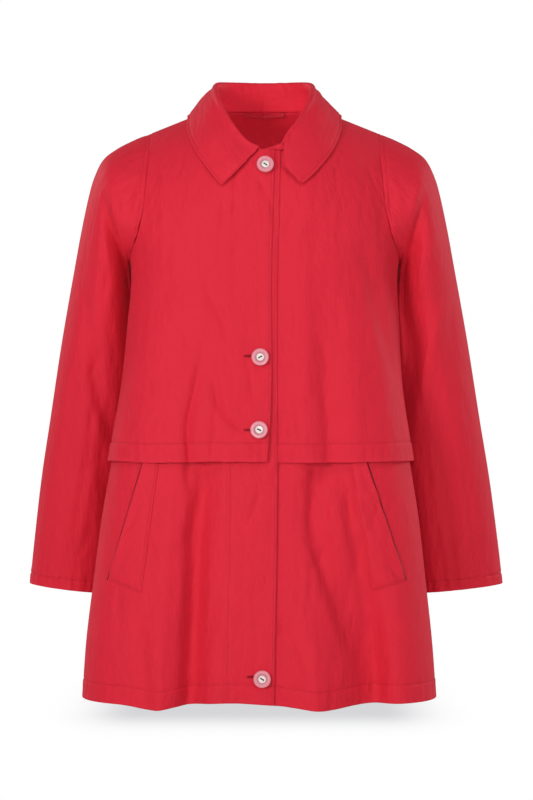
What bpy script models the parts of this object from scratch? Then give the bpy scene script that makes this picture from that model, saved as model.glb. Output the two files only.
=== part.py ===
# Raincoat: a hip-length coat with two storm flaps over its fronts, in the hollow form that it has when worn.
# Metres, +Z up. The coat faces -Y, and +X is the wearer's left. The origin is at the base of the neck,
# midway between the shoulder seams, where the shoulders carry the coat.
import math

import bpy
import numpy as np
from mathutils import Vector


def table(names, rows):
    """A table with named columns, each column an array."""
    return {name: np.array(values, float) for name, values in zip(names.split(), zip(*rows))}


# Cloth
CLOTH = 0.0012
COLLAR_CLOTH = 0.0018
SEAM_GAP = 0.0003
LAYER_GAP = 0.0004
COLLAR_GAP = 0.0006
FOLD_RISE = 0.25
FOLD_FADE = 0.35
HEM_SPREAD = 1.5

# The wearer's right is towards -X.
SIDES = ((-1, "right"), (1, "left"))

# Heights
HEM_Z = -0.7520
HEM_SIDE_LIFT = 0.002
HEM_SIDE_POWER = 6
FLAP_HEM_Z = -0.451
UNDERARM_Z = -0.195
FRONT_NECK_Z = -0.0542
BACK_NECK_Z = 0.0067

# Neck and shoulders
NECK_HALF_WIDTH = 0.072
NECK_POINT_Z = 0.003
SHOULDER_SLOPE = 0.404
SHOULDER_SEAM_END = 0.1455
FRONT_ROUND = 0.15
BACK_ROUND = 0.13
FRONT_SQUARENESS = 2.45
BACK_SQUARENESS = 1.88

# Level sections of the body, from the hem up. Above the underarm they carry on as a form for the chest.
TORSO = table(
    "z half_width lean widest_y front_depth back_depth",
    [
        (-0.765, 0.2265, -0.0065, -0.045, 0.128, 0.196),
        (-0.684, 0.2210, -0.0068, -0.047, 0.121, 0.192),
        (-0.600, 0.2115, -0.0062, -0.049, 0.112, 0.188),
        (-0.525, 0.2025, -0.0055, -0.050, 0.105, 0.183),
        (-0.451, 0.1905, -0.0048, -0.050, 0.098, 0.177),
        (-0.360, 0.1772, -0.0035, -0.046, 0.094, 0.168),
        (-0.280, 0.1728, -0.0015, -0.038, 0.095, 0.156),
        (-0.195, 0.1718, 0.0000, -0.022, 0.103, 0.135),
        (-0.120, 0.1960, 0.0000, -0.002, 0.118, 0.112),
        (-0.030, 0.2150, 0.0000, 0.008, 0.120, 0.100),
        (0.060, 0.2150, 0.0000, 0.008, 0.120, 0.100),
    ],
)

# The armhole as seen from the front, from the underarm up to the shoulder seam.
ARMHOLE = table(
    "z x",
    [
        (-0.195, 0.1718),
        (-0.186, 0.1700),
        (-0.165, 0.1610),
        (-0.130, 0.1535),
        (-0.090, 0.1495),
        (-0.055, 0.1470),
        (-0.0267, 0.1455),
    ],
)

# Points this close to the line where front and back meet count as on the side and shoulder seams.
SEAM_REACH = 0.002

# Front edges: how far each front runs past the middle line, and where its flap's own edge lies.
FRONT_EDGE = table(
    "z panel flap",
    [
        (-0.765, 0.0115, -0.0005),
        (-0.451, 0.0160, 0.0034),
        (-0.400, 0.0160, 0.0070),
        (-0.200, 0.0165, 0.0088),
        (-0.054, 0.0205, 0.0131),
    ],
)
# The left front steps in under the right one between these distances from the middle line.
UNDER_FULL = 0.020
UNDER_NONE = 0.055

# The flaps hang clear of the fronts below their start, to this far out at their hem.
FLAP_HANG = 0.0034
FLAP_HANG_START_Z = -0.24
FLAP_HANG_FULL_Z = -0.44

# Sleeve sections from the armhole to the cuff: where each lies seen from the front, its depth, and how far
# both sleeves swing towards the wearer's left. The inner side follows the body's lean.
SLEEVE = table(
    "outer_x outer_z inner_x inner_z front_y back_y sway",
    [
        (0.1455, -0.0267, 0.1724, -0.1940, -0.066, 0.070, 0.0000),
        (0.1690, -0.0358, 0.1742, -0.1968, -0.072, 0.073, 0.0000),
        (0.1915, -0.0472, 0.1744, -0.1995, -0.076, 0.076, 0.0000),
        (0.2092, -0.0612, 0.1740, -0.2030, -0.077, 0.078, 0.0000),
        (0.2208, -0.0835, 0.1732, -0.2075, -0.076, 0.080, 0.0000),
        (0.2284, -0.1090, 0.1720, -0.2135, -0.073, 0.081, 0.0000),
        (0.2378, -0.1520, 0.1706, -0.2250, -0.068, 0.082, 0.0000),
        (0.2464, -0.1970, 0.1682, -0.2440, -0.061, 0.083, 0.0000),
        (0.2646, -0.2950, 0.1672, -0.3200, -0.044, 0.087, 0.0002),
        (0.2816, -0.3990, 0.1740, -0.4150, -0.026, 0.092, 0.0006),
        (0.2944, -0.4770, 0.1832, -0.4910, -0.014, 0.095, 0.0012),
        (0.3056, -0.5640, 0.1945, -0.5770, -0.004, 0.097, 0.0020),
        (0.3110, -0.6136, 0.2010, -0.6262, 0.000, 0.098, 0.0023),
    ],
)

# Each sleeve starts this far into its armhole, towards a point out to the side.
ARMHOLE_GAP = 0.0011
ARMHOLE_AIM_X = 0.24
ARMHOLE_AIM_Z = -0.11

# Folds seen from the front: a line from top to low end, its half width, and how far it stands out there.
# Troughs are negative. The hem hangs lower by the last column at the fold's low end.
FRONT_FOLDS = table(
    "top_x top_z low_x low_z width top_out low_out hem_drop",
    [
        (0.0780, -0.220, 0.0700, -0.470, 0.016, -0.001, -0.007, 0.000),
        (0.1280, -0.190, 0.1600, -0.430, 0.012, -0.003, -0.006, 0.000),
        (-0.0960, -0.330, -0.0990, -0.480, 0.010, -0.001, -0.004, 0.000),
        (-0.0975, -0.455, -0.1150, -0.760, 0.010, -0.004, -0.014, -0.001),
        (-0.1200, -0.480, -0.1330, -0.760, 0.020, 0.000, 0.009, 0.006),
        (0.0880, -0.455, 0.1240, -0.760, 0.023, -0.005, -0.015, -0.001),
        (0.0640, -0.600, 0.0700, -0.760, 0.024, 0.000, 0.009, 0.006),
        (0.0450, -0.455, 0.0780, -0.640, 0.009, -0.005, -0.005, 0.000),
        (-0.0300, -0.560, -0.0420, -0.760, 0.030, 0.000, -0.004, -0.003),
    ],
)
BACK_FOLDS = table(
    "top_x top_z low_x low_z width top_out low_out hem_drop",
    [
        (-0.0500, -0.300, -0.0880, -0.760, 0.022, -0.001, -0.014, -0.001),
        (-0.0150, -0.360, -0.0320, -0.760, 0.022, 0.000, 0.010, 0.004),
        (0.0300, -0.330, 0.0420, -0.760, 0.020, -0.001, -0.011, -0.001),
        (0.0850, -0.280, 0.1080, -0.760, 0.026, 0.000, 0.009, 0.004),
    ],
)
# Drag folds where each sleeve breaks away from the chest, and the soft hollow down its inner front.
SLEEVE_FOLDS = table(
    "top_x top_z low_x low_z width top_out low_out hem_drop",
    [
        (0.2060, -0.080, 0.1800, -0.205, 0.010, -0.002, -0.012, 0.000),
        (0.2180, -0.230, 0.2150, -0.480, 0.016, -0.002, -0.006, 0.000),
    ],
)

# Collar sections from its right front end round the back to its left front end. The turn is the angle round
# the neck seam: 90 at the front, 0 at the right shoulder, -90 at the back, -180 at the left shoulder.
# Then come the fold along its top, the middle of the leaf, the leaf's edge, and how tight the fold is.
COLLAR = table(
    "turn fold_x fold_y fold_z half_x half_y half_z edge_x edge_y edge_z fold_radius",
    [
        (84.4, -0.0085, -0.1050, -0.0495, -0.0300, -0.1160, -0.0775, -0.0535, -0.1182, -0.1035, 0.0018),
        (67.1, -0.0250, -0.0985, -0.0380, -0.0470, -0.1085, -0.0620, -0.0695, -0.1085, -0.0840, 0.0022),
        (44.9, -0.0450, -0.0830, -0.0145, -0.0665, -0.0895, -0.0360, -0.0880, -0.0860, -0.0555, 0.0026),
        (23.6, -0.0590, -0.0560, 0.0130, -0.0785, -0.0600, -0.0100, -0.0975, -0.0585, -0.0300, 0.0028),
        (10.0, -0.0632, -0.0260, 0.0285, -0.0815, -0.0280, 0.0080, -0.0990, -0.0270, -0.0105, 0.0028),
        (0.0, -0.0645, 0.0030, 0.0355, -0.0825, 0.0040, 0.0170, -0.0988, 0.0050, -0.0035, 0.0028),
        (-20.0, -0.0610, 0.0230, 0.0415, -0.0780, 0.0300, 0.0190, -0.0935, 0.0370, -0.0085, 0.0028),
        (-43.8, -0.0500, 0.0400, 0.0437, -0.0640, 0.0520, 0.0200, -0.0770, 0.0590, -0.0130, 0.0028),
        (-67.0, -0.0270, 0.0550, 0.0448, -0.0340, 0.0710, 0.0195, -0.0400, 0.0775, -0.0155, 0.0028),
        (-90.0, 0.0000, 0.0620, 0.0450, 0.0000, 0.0790, 0.0190, 0.0000, 0.0895, -0.0165, 0.0028),
        (-113.0, 0.0270, 0.0550, 0.0448, 0.0340, 0.0710, 0.0195, 0.0400, 0.0775, -0.0155, 0.0028),
        (-136.2, 0.0500, 0.0400, 0.0437, 0.0640, 0.0520, 0.0200, 0.0770, 0.0590, -0.0130, 0.0028),
        (-160.0, 0.0602, 0.0230, 0.0408, 0.0765, 0.0300, 0.0190, 0.0935, 0.0370, -0.0085, 0.0028),
        (-180.0, 0.0628, 0.0030, 0.0350, 0.0795, 0.0040, 0.0170, 0.0988, 0.0050, -0.0035, 0.0028),
        (-190.0, 0.0622, -0.0260, 0.0280, 0.0800, -0.0280, 0.0080, 0.0990, -0.0270, -0.0105, 0.0028),
        (-203.6, 0.0590, -0.0560, 0.0130, 0.0785, -0.0600, -0.0100, 0.0970, -0.0585, -0.0300, 0.0028),
        (-224.9, 0.0450, -0.0830, -0.0145, 0.0650, -0.0900, -0.0370, 0.0860, -0.0870, -0.0565, 0.0026),
        (-241.8, 0.0300, -0.0955, -0.0350, 0.0430, -0.1070, -0.0620, 0.0655, -0.1090, -0.0835, 0.0022),
        (-251.8, 0.0235, -0.1015, -0.0470, 0.0245, -0.1145, -0.0790, 0.0468, -0.1187, -0.1017, 0.0018),
    ],
)
# How steeply the body runs up to the neck seam, back from the front and forward from the back.
FRONT_NECK_LEAN = 0.38
BACK_NECK_LEAN = -1.04

# Pocket welts, right then left, their corners seen from the front. The top ends lie under the flaps.
WELT = table(
    "top_outer_x top_inner_x low_outer_x low_outer_z low_inner_x low_inner_z",
    [
        (-0.1468, -0.1306, -0.1957, -0.5990, -0.1535, -0.6130),
        (0.1225, 0.1030, 0.1763, -0.5990, 0.1346, -0.6115),
    ],
)
WELT_TOP_Z = -0.438
WELT_GAP = 0.0008

# Buttons, from the collar down.
BUTTON_RADIUS = 0.0108
BUTTON_THICK = 0.0034
BUTTON_RIM = 0.0009
BUTTON_WELL = 0.0052
BUTTON_BEVEL = 0.0012
BUTTON_EDGE = 0.0010
SHANK_RADIUS = 0.0026
SHANK_LENGTH = 0.0010
BUTTONS = table("x z", [(0.0010, -0.0772), (-0.0051, -0.3198), (-0.0068, -0.4105), (-0.0026, -0.7190)])

# Hanger loop inside the back neck.
LOOP_HALF_LENGTH = 0.026
LOOP_WIDTH = 0.005
LOOP_SAG = 0.0015
LOOP_TOP_Z = 0.0058
LOOP_INSET = 0.0021

# How finely each piece is divided.
SKIRT_ROWS = 8
FLAP_ROWS = 6
CHEST_ROWS = 10
FRONT_COLUMNS = 20
BACK_COLUMNS = 28
SLEEVE_ROWS = 20
COLLAR_STATIONS = 40
WELT_ROWS = 8
WELT_COLUMNS = 4
LOOP_COLUMNS = 10
LEAF_STEPS = 4
BUTTON_SIDES = 20
ROW_STEPS = 240
EDGE_STEPS = 60

COAT_RED = (0.72, 0.028, 0.053)
CLOTH_ROUGHNESS = 0.7
BUTTON_PINK = (0.80, 0.33, 0.40)
BUTTON_ROUGHNESS = 0.3
SHARP_ANGLE = math.radians(50)


def smooth(at, knots, values):
    """A smooth curve through the values at rising knots."""
    slopes = np.gradient(values, knots)
    i = np.clip(np.searchsorted(knots, at) - 1, 0, len(knots) - 2)
    span = knots[i + 1] - knots[i]
    t = np.clip((at - knots[i]) / span, 0, 1)
    start = values[i] * (1 + 2 * t) + slopes[i] * span * t
    end = values[i + 1] * (3 - 2 * t) + slopes[i + 1] * span * (t - 1)
    return start * (1 - t) ** 2 + end * t**2


def ease(t):
    t = np.clip(t, 0, 1)
    return t * t * (3 - 2 * t)


def torso(name, z):
    return smooth(z, TORSO["z"], TORSO[name])


def ridge_height(x):
    """Height of the shoulder seam line at x, carried on over the neck."""
    return NECK_POINT_Z - SHOULDER_SLOPE * (np.abs(x) - NECK_HALF_WIDTH)


def fold_reach(folds, x, z):
    """How far the folds push the cloth out at points seen from the front. Each fades past both its ends."""
    out = np.zeros(np.broadcast(x, z).shape)
    for top_x, top_z, low_x, low_z, width, top_out, low_out, _ in zip(*folds.values()):
        along = (top_z - z) / (top_z - low_z)
        fade = ease(1 + along / FOLD_RISE) * ease(1 + (1 - along) / FOLD_FADE)
        line_x = top_x + (low_x - top_x) * along
        height = top_out + (low_out - top_out) * np.clip(along, 0, 1)
        out = out + height * fade * np.exp(-(((x - line_x) / width) ** 2))
    return out


def hem_wave(folds, x):
    drop = np.zeros(np.shape(x))
    for low_x, width, hem_drop in zip(folds["low_x"], folds["width"], folds["hem_drop"]):
        drop = drop - hem_drop * np.exp(-(((x - low_x) / (HEM_SPREAD * width)) ** 2))
    return drop


def torso_y(x, z, facing):
    """Depth of the body's form at x, z, on its front (facing -1) or back (facing 1)."""
    across = np.clip(np.abs(x - torso("lean", z)) / torso("half_width", z), 0, 1)
    squareness = FRONT_SQUARENESS if facing < 0 else BACK_SQUARENESS
    bulge = (1 - across**squareness) ** (1 / squareness)
    drop = np.clip((ridge_height(x) - z) / (FRONT_ROUND if facing < 0 else BACK_ROUND), 0, 1)
    rounding = np.sqrt(1 - (1 - drop) ** 2)
    depth = torso("front_depth" if facing < 0 else "back_depth", z)
    fold = fold_reach(FRONT_FOLDS if facing < 0 else BACK_FOLDS, x, z)
    return torso("widest_y", z) + facing * (depth * bulge * rounding + fold * bulge)


def body_points(x, z, facing):
    return np.stack([x, torso_y(x, z, facing), z + 0 * x], axis=-1)


def evenly(points, count):
    """Points spaced evenly along a line of points."""
    steps = np.linalg.norm(np.diff(points, axis=0), axis=1)
    length = np.concatenate([[0], np.cumsum(steps)])
    at = np.linspace(0, length[-1], count)
    return np.stack([np.interp(at, length, points[:, k]) for k in range(points.shape[1])], axis=-1)


def section_row(z, facing, start_x, end_x, count):
    """A level line of the body from start_x to end_x, evenly divided, with the hem's wave near the hem."""
    lean = torso("lean", z)
    half = torso("half_width", z)
    angles = np.arcsin(np.clip((np.array([start_x, end_x]) - lean) / half, -1, 1))
    x = lean + half * np.sin(np.linspace(angles[0], angles[1], ROW_STEPS))
    row = evenly(body_points(x, np.full(ROW_STEPS, z), facing), count)
    near_hem = ease((UNDERARM_Z - z) / (UNDERARM_Z - HEM_Z)) ** 2
    row[:, 2] += near_hem * hem_wave(FRONT_FOLDS if facing < 0 else BACK_FOLDS, row[:, 0])
    row[:, 2] += near_hem * HEM_SIDE_LIFT * np.abs((row[:, 0] - lean) / half) ** HEM_SIDE_POWER
    return row


def front_neckline():
    """The front neck edge seen from the front, from the middle line to the shoulder seam."""
    turn = np.linspace(math.pi / 2, 0, EDGE_STEPS)
    z = NECK_POINT_Z - (NECK_POINT_Z - FRONT_NECK_Z) * np.sin(turn)
    return np.stack([NECK_HALF_WIDTH * np.cos(turn), z], -1)


def back_neckline():
    """The back neck edge seen from the front, from the middle line to the shoulder seam."""
    x = NECK_HALF_WIDTH * np.sin(np.linspace(0, math.pi / 2, EDGE_STEPS))
    return np.stack([x, BACK_NECK_Z + (NECK_POINT_Z - BACK_NECK_Z) * (x / NECK_HALF_WIDTH) ** 2], -1)


def shoulder_seam():
    x = np.linspace(NECK_HALF_WIDTH, SHOULDER_SEAM_END, EDGE_STEPS)
    return np.stack([x, ridge_height(x)], -1)


def filled(bottom, top, left, right, rows):
    """Points seen from the front that fill four edge lines, row by row from the bottom to the top."""
    across = np.linspace(0, 1, len(bottom))[None, :, None]
    up = np.linspace(0, 1, rows + 1)[:, None, None]
    left = evenly(left, rows + 1)[:, None, :]
    right = evenly(right, rows + 1)[:, None, :]
    first = (1 - up) * bottom[0] + up * top[0]
    last = (1 - up) * bottom[-1] + up * top[-1]
    return (1 - up) * bottom + up * top + (1 - across) * (left - first) + across * (right - last)


def armhole_line(side):
    z = np.linspace(ARMHOLE["z"][0], ARMHOLE["z"][-1], EDGE_STEPS)
    return np.stack([side * smooth(z, ARMHOLE["z"], ARMHOLE["x"]), z], -1)


def body_levels():
    """Heights of the rows from the hem to the underarm, one of them at the flaps' hem."""
    skirt = np.linspace(HEM_Z, FLAP_HEM_Z, SKIRT_ROWS + 1)
    return np.concatenate([skirt, np.linspace(FLAP_HEM_Z, UNDERARM_Z, FLAP_ROWS + 1)[1:]])


def free_edge(piece, z):
    return smooth(z, FRONT_EDGE["z"], FRONT_EDGE[piece])


def front_grid(side):
    """Points of a front, from its free edge to the side seam and armhole, and from the hem up to the neck."""
    rows = []
    for z in body_levels():
        seam_x = torso("lean", z) + side * torso("half_width", z)
        rows.append(section_row(z, -1, -side * free_edge("panel", z), seam_x, FRONT_COLUMNS + 1))
    corner = [[-free_edge("panel", FRONT_NECK_Z), FRONT_NECK_Z]]
    top = np.concatenate([corner, front_neckline(), shoulder_seam()[1:]]) * (side, 1)
    left_z = np.linspace(UNDERARM_Z, FRONT_NECK_Z, EDGE_STEPS)
    left = np.stack([-side * free_edge("panel", left_z), left_z], -1)
    top = evenly(top, FRONT_COLUMNS + 1)
    flat = filled(rows[-1][:, [0, 2]], top, left, armhole_line(side), CHEST_ROWS)[1:]
    return np.concatenate([rows, body_points(flat[..., 0], flat[..., 1], -1)])


def cut_to_flap(side, grid):
    """A front's upper rows, cut off at the flap's own edge."""
    flap = grid[SKIRT_ROWS:].copy()
    edge_x = -side * free_edge("flap", flap[:, 0, 2])
    share = (edge_x - flap[:, 0, 0]) / (flap[:, 1, 0] - flap[:, 0, 0])
    flap[:, 0] += share[:, None] * (flap[:, 1] - flap[:, 0])
    return flap


def back_grid():
    rows = []
    for z in body_levels():
        lean, half = torso("lean", z), torso("half_width", z)
        rows.append(section_row(z, 1, lean - half, lean + half, BACK_COLUMNS + 1))
    half_top = np.concatenate([back_neckline(), shoulder_seam()[1:]])
    top = evenly(np.concatenate([half_top[::-1] * (-1, 1), half_top[1:]]), BACK_COLUMNS + 1)
    flat = filled(rows[-1][:, [0, 2]], top, armhole_line(-1), armhole_line(1), CHEST_ROWS)[1:]
    return np.concatenate([rows, body_points(flat[..., 0], flat[..., 1], 1)])


def normals(grid, round_about=False):
    """Unit normals of a grid of points. A tube's grid joins up round about."""
    along = np.gradient(grid, axis=0, edge_order=2)
    across = np.gradient(grid, axis=1, edge_order=2)
    if round_about:
        across = np.roll(grid, -1, axis=1) - np.roll(grid, 1, axis=1)
    normal = np.cross(across, along)
    return normal / np.maximum(np.linalg.norm(normal, axis=-1, keepdims=True), 1e-9)


def body_normals(grid, facing):
    """Outward normals of a body panel, level across the seams where front and back meet."""
    normal = normals(grid)
    normal *= facing * np.sign(np.sum(normal[..., 1]))
    on_seam = np.abs(grid[..., 1] - torso("widest_y", grid[..., 2])) < SEAM_REACH
    normal[on_seam, 1] = 0
    return normal / np.linalg.norm(normal, axis=-1, keepdims=True)


def moved(grid, facing, distance):
    return grid + body_normals(grid, facing) * np.asarray(distance)[..., None]


def near_middle(grid):
    """1 where the left front lies under the right one, falling to 0 clear of it."""
    return ease((UNDER_NONE - grid[..., 0]) / (UNDER_NONE - UNDER_FULL))


def panel_step(side, grid):
    """The left front steps in under the right one near the middle line."""
    return -2 * (CLOTH + LAYER_GAP) * near_middle(grid) * (side > 0)


def flap_step(side, grid):
    """How far a flap's outer face lies out from its front, most at its hem, least under the other front."""
    hang = FLAP_HANG * ease((FLAP_HANG_START_Z - grid[..., 2]) / (FLAP_HANG_START_Z - FLAP_HANG_FULL_Z))
    return CLOTH + LAYER_GAP + hang * (1 - near_middle(grid) * (side > 0))


def finished(name, points, faces, colour, roughness):
    """A named object from points and faces, shaded smooth over its round stretches, with its own material."""
    mesh = bpy.data.meshes.new(name)
    mesh.from_pydata(points, [], faces)
    mesh.update()
    if sum(face.center.dot(face.normal) * face.area for face in mesh.polygons) < 0:
        mesh.flip_normals()
    mesh.shade_smooth()
    mesh.set_sharp_from_angle(angle=SHARP_ANGLE)
    material = bpy.data.materials.new(name)
    material.use_nodes = True
    shader = material.node_tree.nodes["Principled BSDF"]
    shader.inputs["Base Color"].default_value = (*colour, 1)
    shader.inputs["Roughness"].default_value = roughness
    shader.inputs["Metallic"].default_value = 0
    mesh.materials.append(material)
    made = bpy.data.objects.new(name, mesh)
    bpy.context.collection.objects.link(made)
    return made


def wall(name, outer, inner, round_about=False):
    """A closed cloth wall between two grids of points."""
    rows, columns = outer.shape[:2]
    spans = columns if round_about else columns - 1
    other = rows * columns
    faces = []

    def at(i, j):
        return i * columns + j % columns

    for i in range(rows - 1):
        for j in range(spans):
            low, low_next, high, high_next = at(i, j), at(i, j + 1), at(i + 1, j), at(i + 1, j + 1)
            for face in ((low, low_next, high_next), (low, high_next, high)):
                faces.append(face)
                faces.append(tuple(other + k for k in reversed(face)))
    edges = [(at(0, j + 1), at(0, j)) for j in range(spans)]
    edges += [(at(rows - 1, j), at(rows - 1, j + 1)) for j in range(spans)]
    if not round_about:
        edges += [(at(i, 0), at(i + 1, 0)) for i in range(rows - 1)]
        edges += [(at(i + 1, columns - 1), at(i, columns - 1)) for i in range(rows - 1)]
    faces += [(a, b, other + b, other + a) for a, b in edges]
    points = np.concatenate([outer.reshape(-1, 3), inner.reshape(-1, 3)])
    return finished(name, points.tolist(), faces, COAT_RED, CLOTH_ROUGHNESS)


def armhole_ring(front, back, side):
    """The sleeve's first ring: round the armhole from the shoulder seam down the front and up the back."""
    ring = np.concatenate([front[::-1], back[1:-1]])
    aim = np.array([side * ARMHOLE_AIM_X, 0, ARMHOLE_AIM_Z]) - ring
    return ring + aim / np.linalg.norm(aim, axis=1, keepdims=True) * ARMHOLE_GAP


def sleeve_grid(side, first_ring):
    """Rings of the sleeve from the armhole to the cuff."""
    turn = np.linspace(0, 2 * math.pi, 2 * CHEST_ROWS, endpoint=False)
    rows = len(SLEEVE["outer_x"])
    rings = [first_ring]
    for at in np.linspace(0, rows - 1, SLEEVE_ROWS + 1)[1:]:
        ring = {name: smooth(at, np.arange(rows), values) for name, values in SLEEVE.items()}
        across = (1 + np.cos(turn)) / 2
        inner_x = ring["inner_x"] + side * torso("lean", ring["inner_z"])
        outer_x = ring["outer_x"] + side * ring["sway"]
        x = inner_x + (outer_x - inner_x) * across
        z = ring["inner_z"] + (ring["outer_z"] - ring["inner_z"]) * across
        middle_y = (ring["front_y"] + ring["back_y"]) / 2
        half_depth = (ring["back_y"] - ring["front_y"]) / 2
        facing = np.clip(np.sin(turn), 0, 1)
        y = middle_y - half_depth * np.sin(turn) - fold_reach(SLEEVE_FOLDS, x, z) * facing
        rings.append(np.stack([side * x, y, z], -1))
    return np.array(rings)


def neck_seam(turn):
    """A point of the collar's lower edge, just clear of the body's neck edge, at an angle round the neck."""
    x = -NECK_HALF_WIDTH * math.cos(turn)
    front, back = max(math.sin(turn), 0), max(-math.sin(turn), 0)
    facing = -1 if front > 0 else 1
    z = NECK_POINT_Z - (NECK_POINT_Z - FRONT_NECK_Z) * front
    if facing > 0:
        z = BACK_NECK_Z + (NECK_POINT_Z - BACK_NECK_Z) * math.cos(turn) ** 2
    up = np.array([math.cos(turn), FRONT_NECK_LEAN * front + BACK_NECK_LEAN * back, front + back])
    seam = np.array([x, float(torso_y(np.array(x), np.array(z), facing)), z])
    return seam + up / np.linalg.norm(up) * (COLLAR_CLOTH / 2 + COLLAR_GAP)


def collar_section(at):
    """A line across the collar: up its stand from the neck seam, over the fold and down its leaf."""
    row = {name: smooth(at, np.arange(len(values)), values) for name, values in COLLAR.items()}

    def place(word):
        return np.array([row[word + "_x"], row[word + "_y"], row[word + "_z"]])

    fold, half, edge = place("fold"), place("half"), place("edge")
    outward = (edge - fold) * (1, 1, 0)
    outward *= row["fold_radius"] / np.linalg.norm(outward)
    under = np.array([0, 0, row["fold_radius"]])
    seam = neck_seam(math.radians(row["turn"]))
    stand_top = fold - outward - under
    leaf_top = fold + outward - under
    line = [seam, (seam + stand_top) / 2, stand_top]
    across, down = math.sin(math.pi / 4) * outward, (1 - math.cos(math.pi / 4)) * under
    line += [fold - across - down, fold, fold + across - down]
    line += [leaf_top, (leaf_top + half) / 2]
    line += [half + (edge - half) * t for t in np.linspace(0, 1, LEAF_STEPS)]
    return np.array(line)


def collar_grid():
    ends = len(COLLAR["turn"]) - 1
    return np.array([collar_section(at) for at in np.linspace(0, ends, COLLAR_STATIONS + 1)])


def welt_grid(row):
    """A welt's outer points, on its front between four corners and moved out from it."""
    down = np.linspace(0, 1, WELT_ROWS + 1)[:, None]
    across = np.linspace(0, 1, WELT_COLUMNS + 1)[None, :]
    outer_x = row["top_outer_x"] + (row["low_outer_x"] - row["top_outer_x"]) * down
    inner_x = row["top_inner_x"] + (row["low_inner_x"] - row["top_inner_x"]) * down
    outer_z = WELT_TOP_Z + (row["low_outer_z"] - WELT_TOP_Z) * down
    inner_z = WELT_TOP_Z + (row["low_inner_z"] - WELT_TOP_Z) * down
    x = outer_x + (inner_x - outer_x) * across
    z = outer_z + (inner_z - outer_z) * across
    return moved(body_points(x, z, -1), -1, np.full(x.shape, CLOTH + WELT_GAP))


def loop_grid():
    """The hanger loop's strip, across the inside of the back neck."""
    x = np.linspace(-LOOP_HALF_LENGTH, LOOP_HALF_LENGTH, LOOP_COLUMNS + 1)
    y = torso_y(x, np.full(x.shape, LOOP_TOP_Z), 1) - LOOP_INSET
    droop = LOOP_SAG * (1 - (x / LOOP_HALF_LENGTH) ** 2)
    return np.array([np.stack([x, y, LOOP_TOP_Z - droop - drop], -1) for drop in (0, LOOP_WIDTH)])


def turned(profile, sides):
    """Points and faces of a solid turned about Z. Its profile runs from the top centre to the bottom one."""
    points, faces = [], []
    turn = np.linspace(0, 2 * math.pi, sides, endpoint=False)
    for radius, height in profile[1:-1]:
        points += [(radius * math.cos(a), radius * math.sin(a), height) for a in turn]
    top, bottom = len(points), len(points) + 1
    points += [(0, 0, profile[0][1]), (0, 0, profile[-1][1])]
    rings = len(profile) - 2
    for j in range(sides):
        k = (j + 1) % sides
        faces.append((top, j, k))
        for low in range(sides, rings * sides, sides):
            high = low - sides
            faces.append((high + j, low + j, low + k, high + k))
        faces.append(((rings - 1) * sides + j, bottom, (rings - 1) * sides + k))
    return points, faces


def seat(pieces, x, z):
    """The foremost cloth at x, z, and the way that it faces there."""
    hits = [piece.ray_cast(Vector((x, -1, z)), Vector((0, 1, 0))) for piece in pieces]
    return min(((place, normal) for found, place, normal, _ in hits if found), key=lambda hit: hit[0].y)


def button(name, place, normal):
    """A dished button on a thread shank, its back a shank's length clear of the cloth."""
    face = BUTTON_THICK - BUTTON_RIM
    profile = [
        (0, face),
        (BUTTON_WELL, face),
        (BUTTON_WELL + BUTTON_BEVEL, BUTTON_THICK),
        (BUTTON_RADIUS - BUTTON_BEVEL, BUTTON_THICK),
        (BUTTON_RADIUS, BUTTON_THICK - BUTTON_EDGE),
        (BUTTON_RADIUS, BUTTON_EDGE),
        (BUTTON_RADIUS - BUTTON_BEVEL, 0),
        (SHANK_RADIUS, 0),
        (SHANK_RADIUS, -SHANK_LENGTH),
        (0, -SHANK_LENGTH),
    ]
    made = finished(name, *turned(profile, BUTTON_SIDES), BUTTON_PINK, BUTTON_ROUGHNESS)
    made.location = place + normal * (SHANK_LENGTH + SEAM_GAP)
    made.rotation_mode = "QUATERNION"
    made.rotation_quaternion = normal.to_track_quat("Z", "Y")
    return made


def build():
    for old in list(bpy.data.objects):
        bpy.data.objects.remove(old)

    back = back_grid() + (0, SEAM_GAP / 2, 0)
    wall("back", back, moved(back, 1, np.full(back.shape[:2], -CLOTH)))

    flaps, facings = {}, []
    for side, word in SIDES:
        front = front_grid(side) - (0, SEAM_GAP / 2, 0)
        step = panel_step(side, front)
        facings.append(wall("front_" + word, moved(front, -1, step), moved(front, -1, step - CLOTH)))
        step += flap_step(side, front)
        flaps[side] = cut_to_flap(side, moved(front, -1, step))
        facings.append(wall("flap_" + word, flaps[side], cut_to_flap(side, moved(front, -1, step - CLOTH))))

    for side, word in SIDES:
        arm_back = back[SKIRT_ROWS + FLAP_ROWS :, 0 if side < 0 else -1]
        rings = sleeve_grid(side, armhole_ring(flaps[side][FLAP_ROWS:, -1], arm_back, side))
        out = normals(rings, round_about=True)
        out *= np.sign(np.sum(out * (rings - rings.mean(axis=1, keepdims=True))))
        wall("sleeve_" + word, rings, rings - out * CLOTH, round_about=True)

    collar = collar_grid()
    half_wall = normals(collar) * COLLAR_CLOTH / 2
    wall("collar", collar + half_wall, collar - half_wall)

    for i, (_, word) in enumerate(SIDES):
        welt = welt_grid({name: values[i] for name, values in WELT.items()})
        wall("welt_" + word, welt, moved(welt, -1, np.full(welt.shape[:2], -CLOTH)))

    loop = loop_grid()
    wall("hanger_loop", loop, loop - (0, CLOTH, 0))

    for i, (x, z) in enumerate(zip(BUTTONS["x"], BUTTONS["z"])):
        button(f"button_{i + 1}", *seat(facings, x, z))


build()
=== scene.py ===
import math
import bmesh
import bpy
import numpy as np
from mathutils import Matrix, Vector


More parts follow.
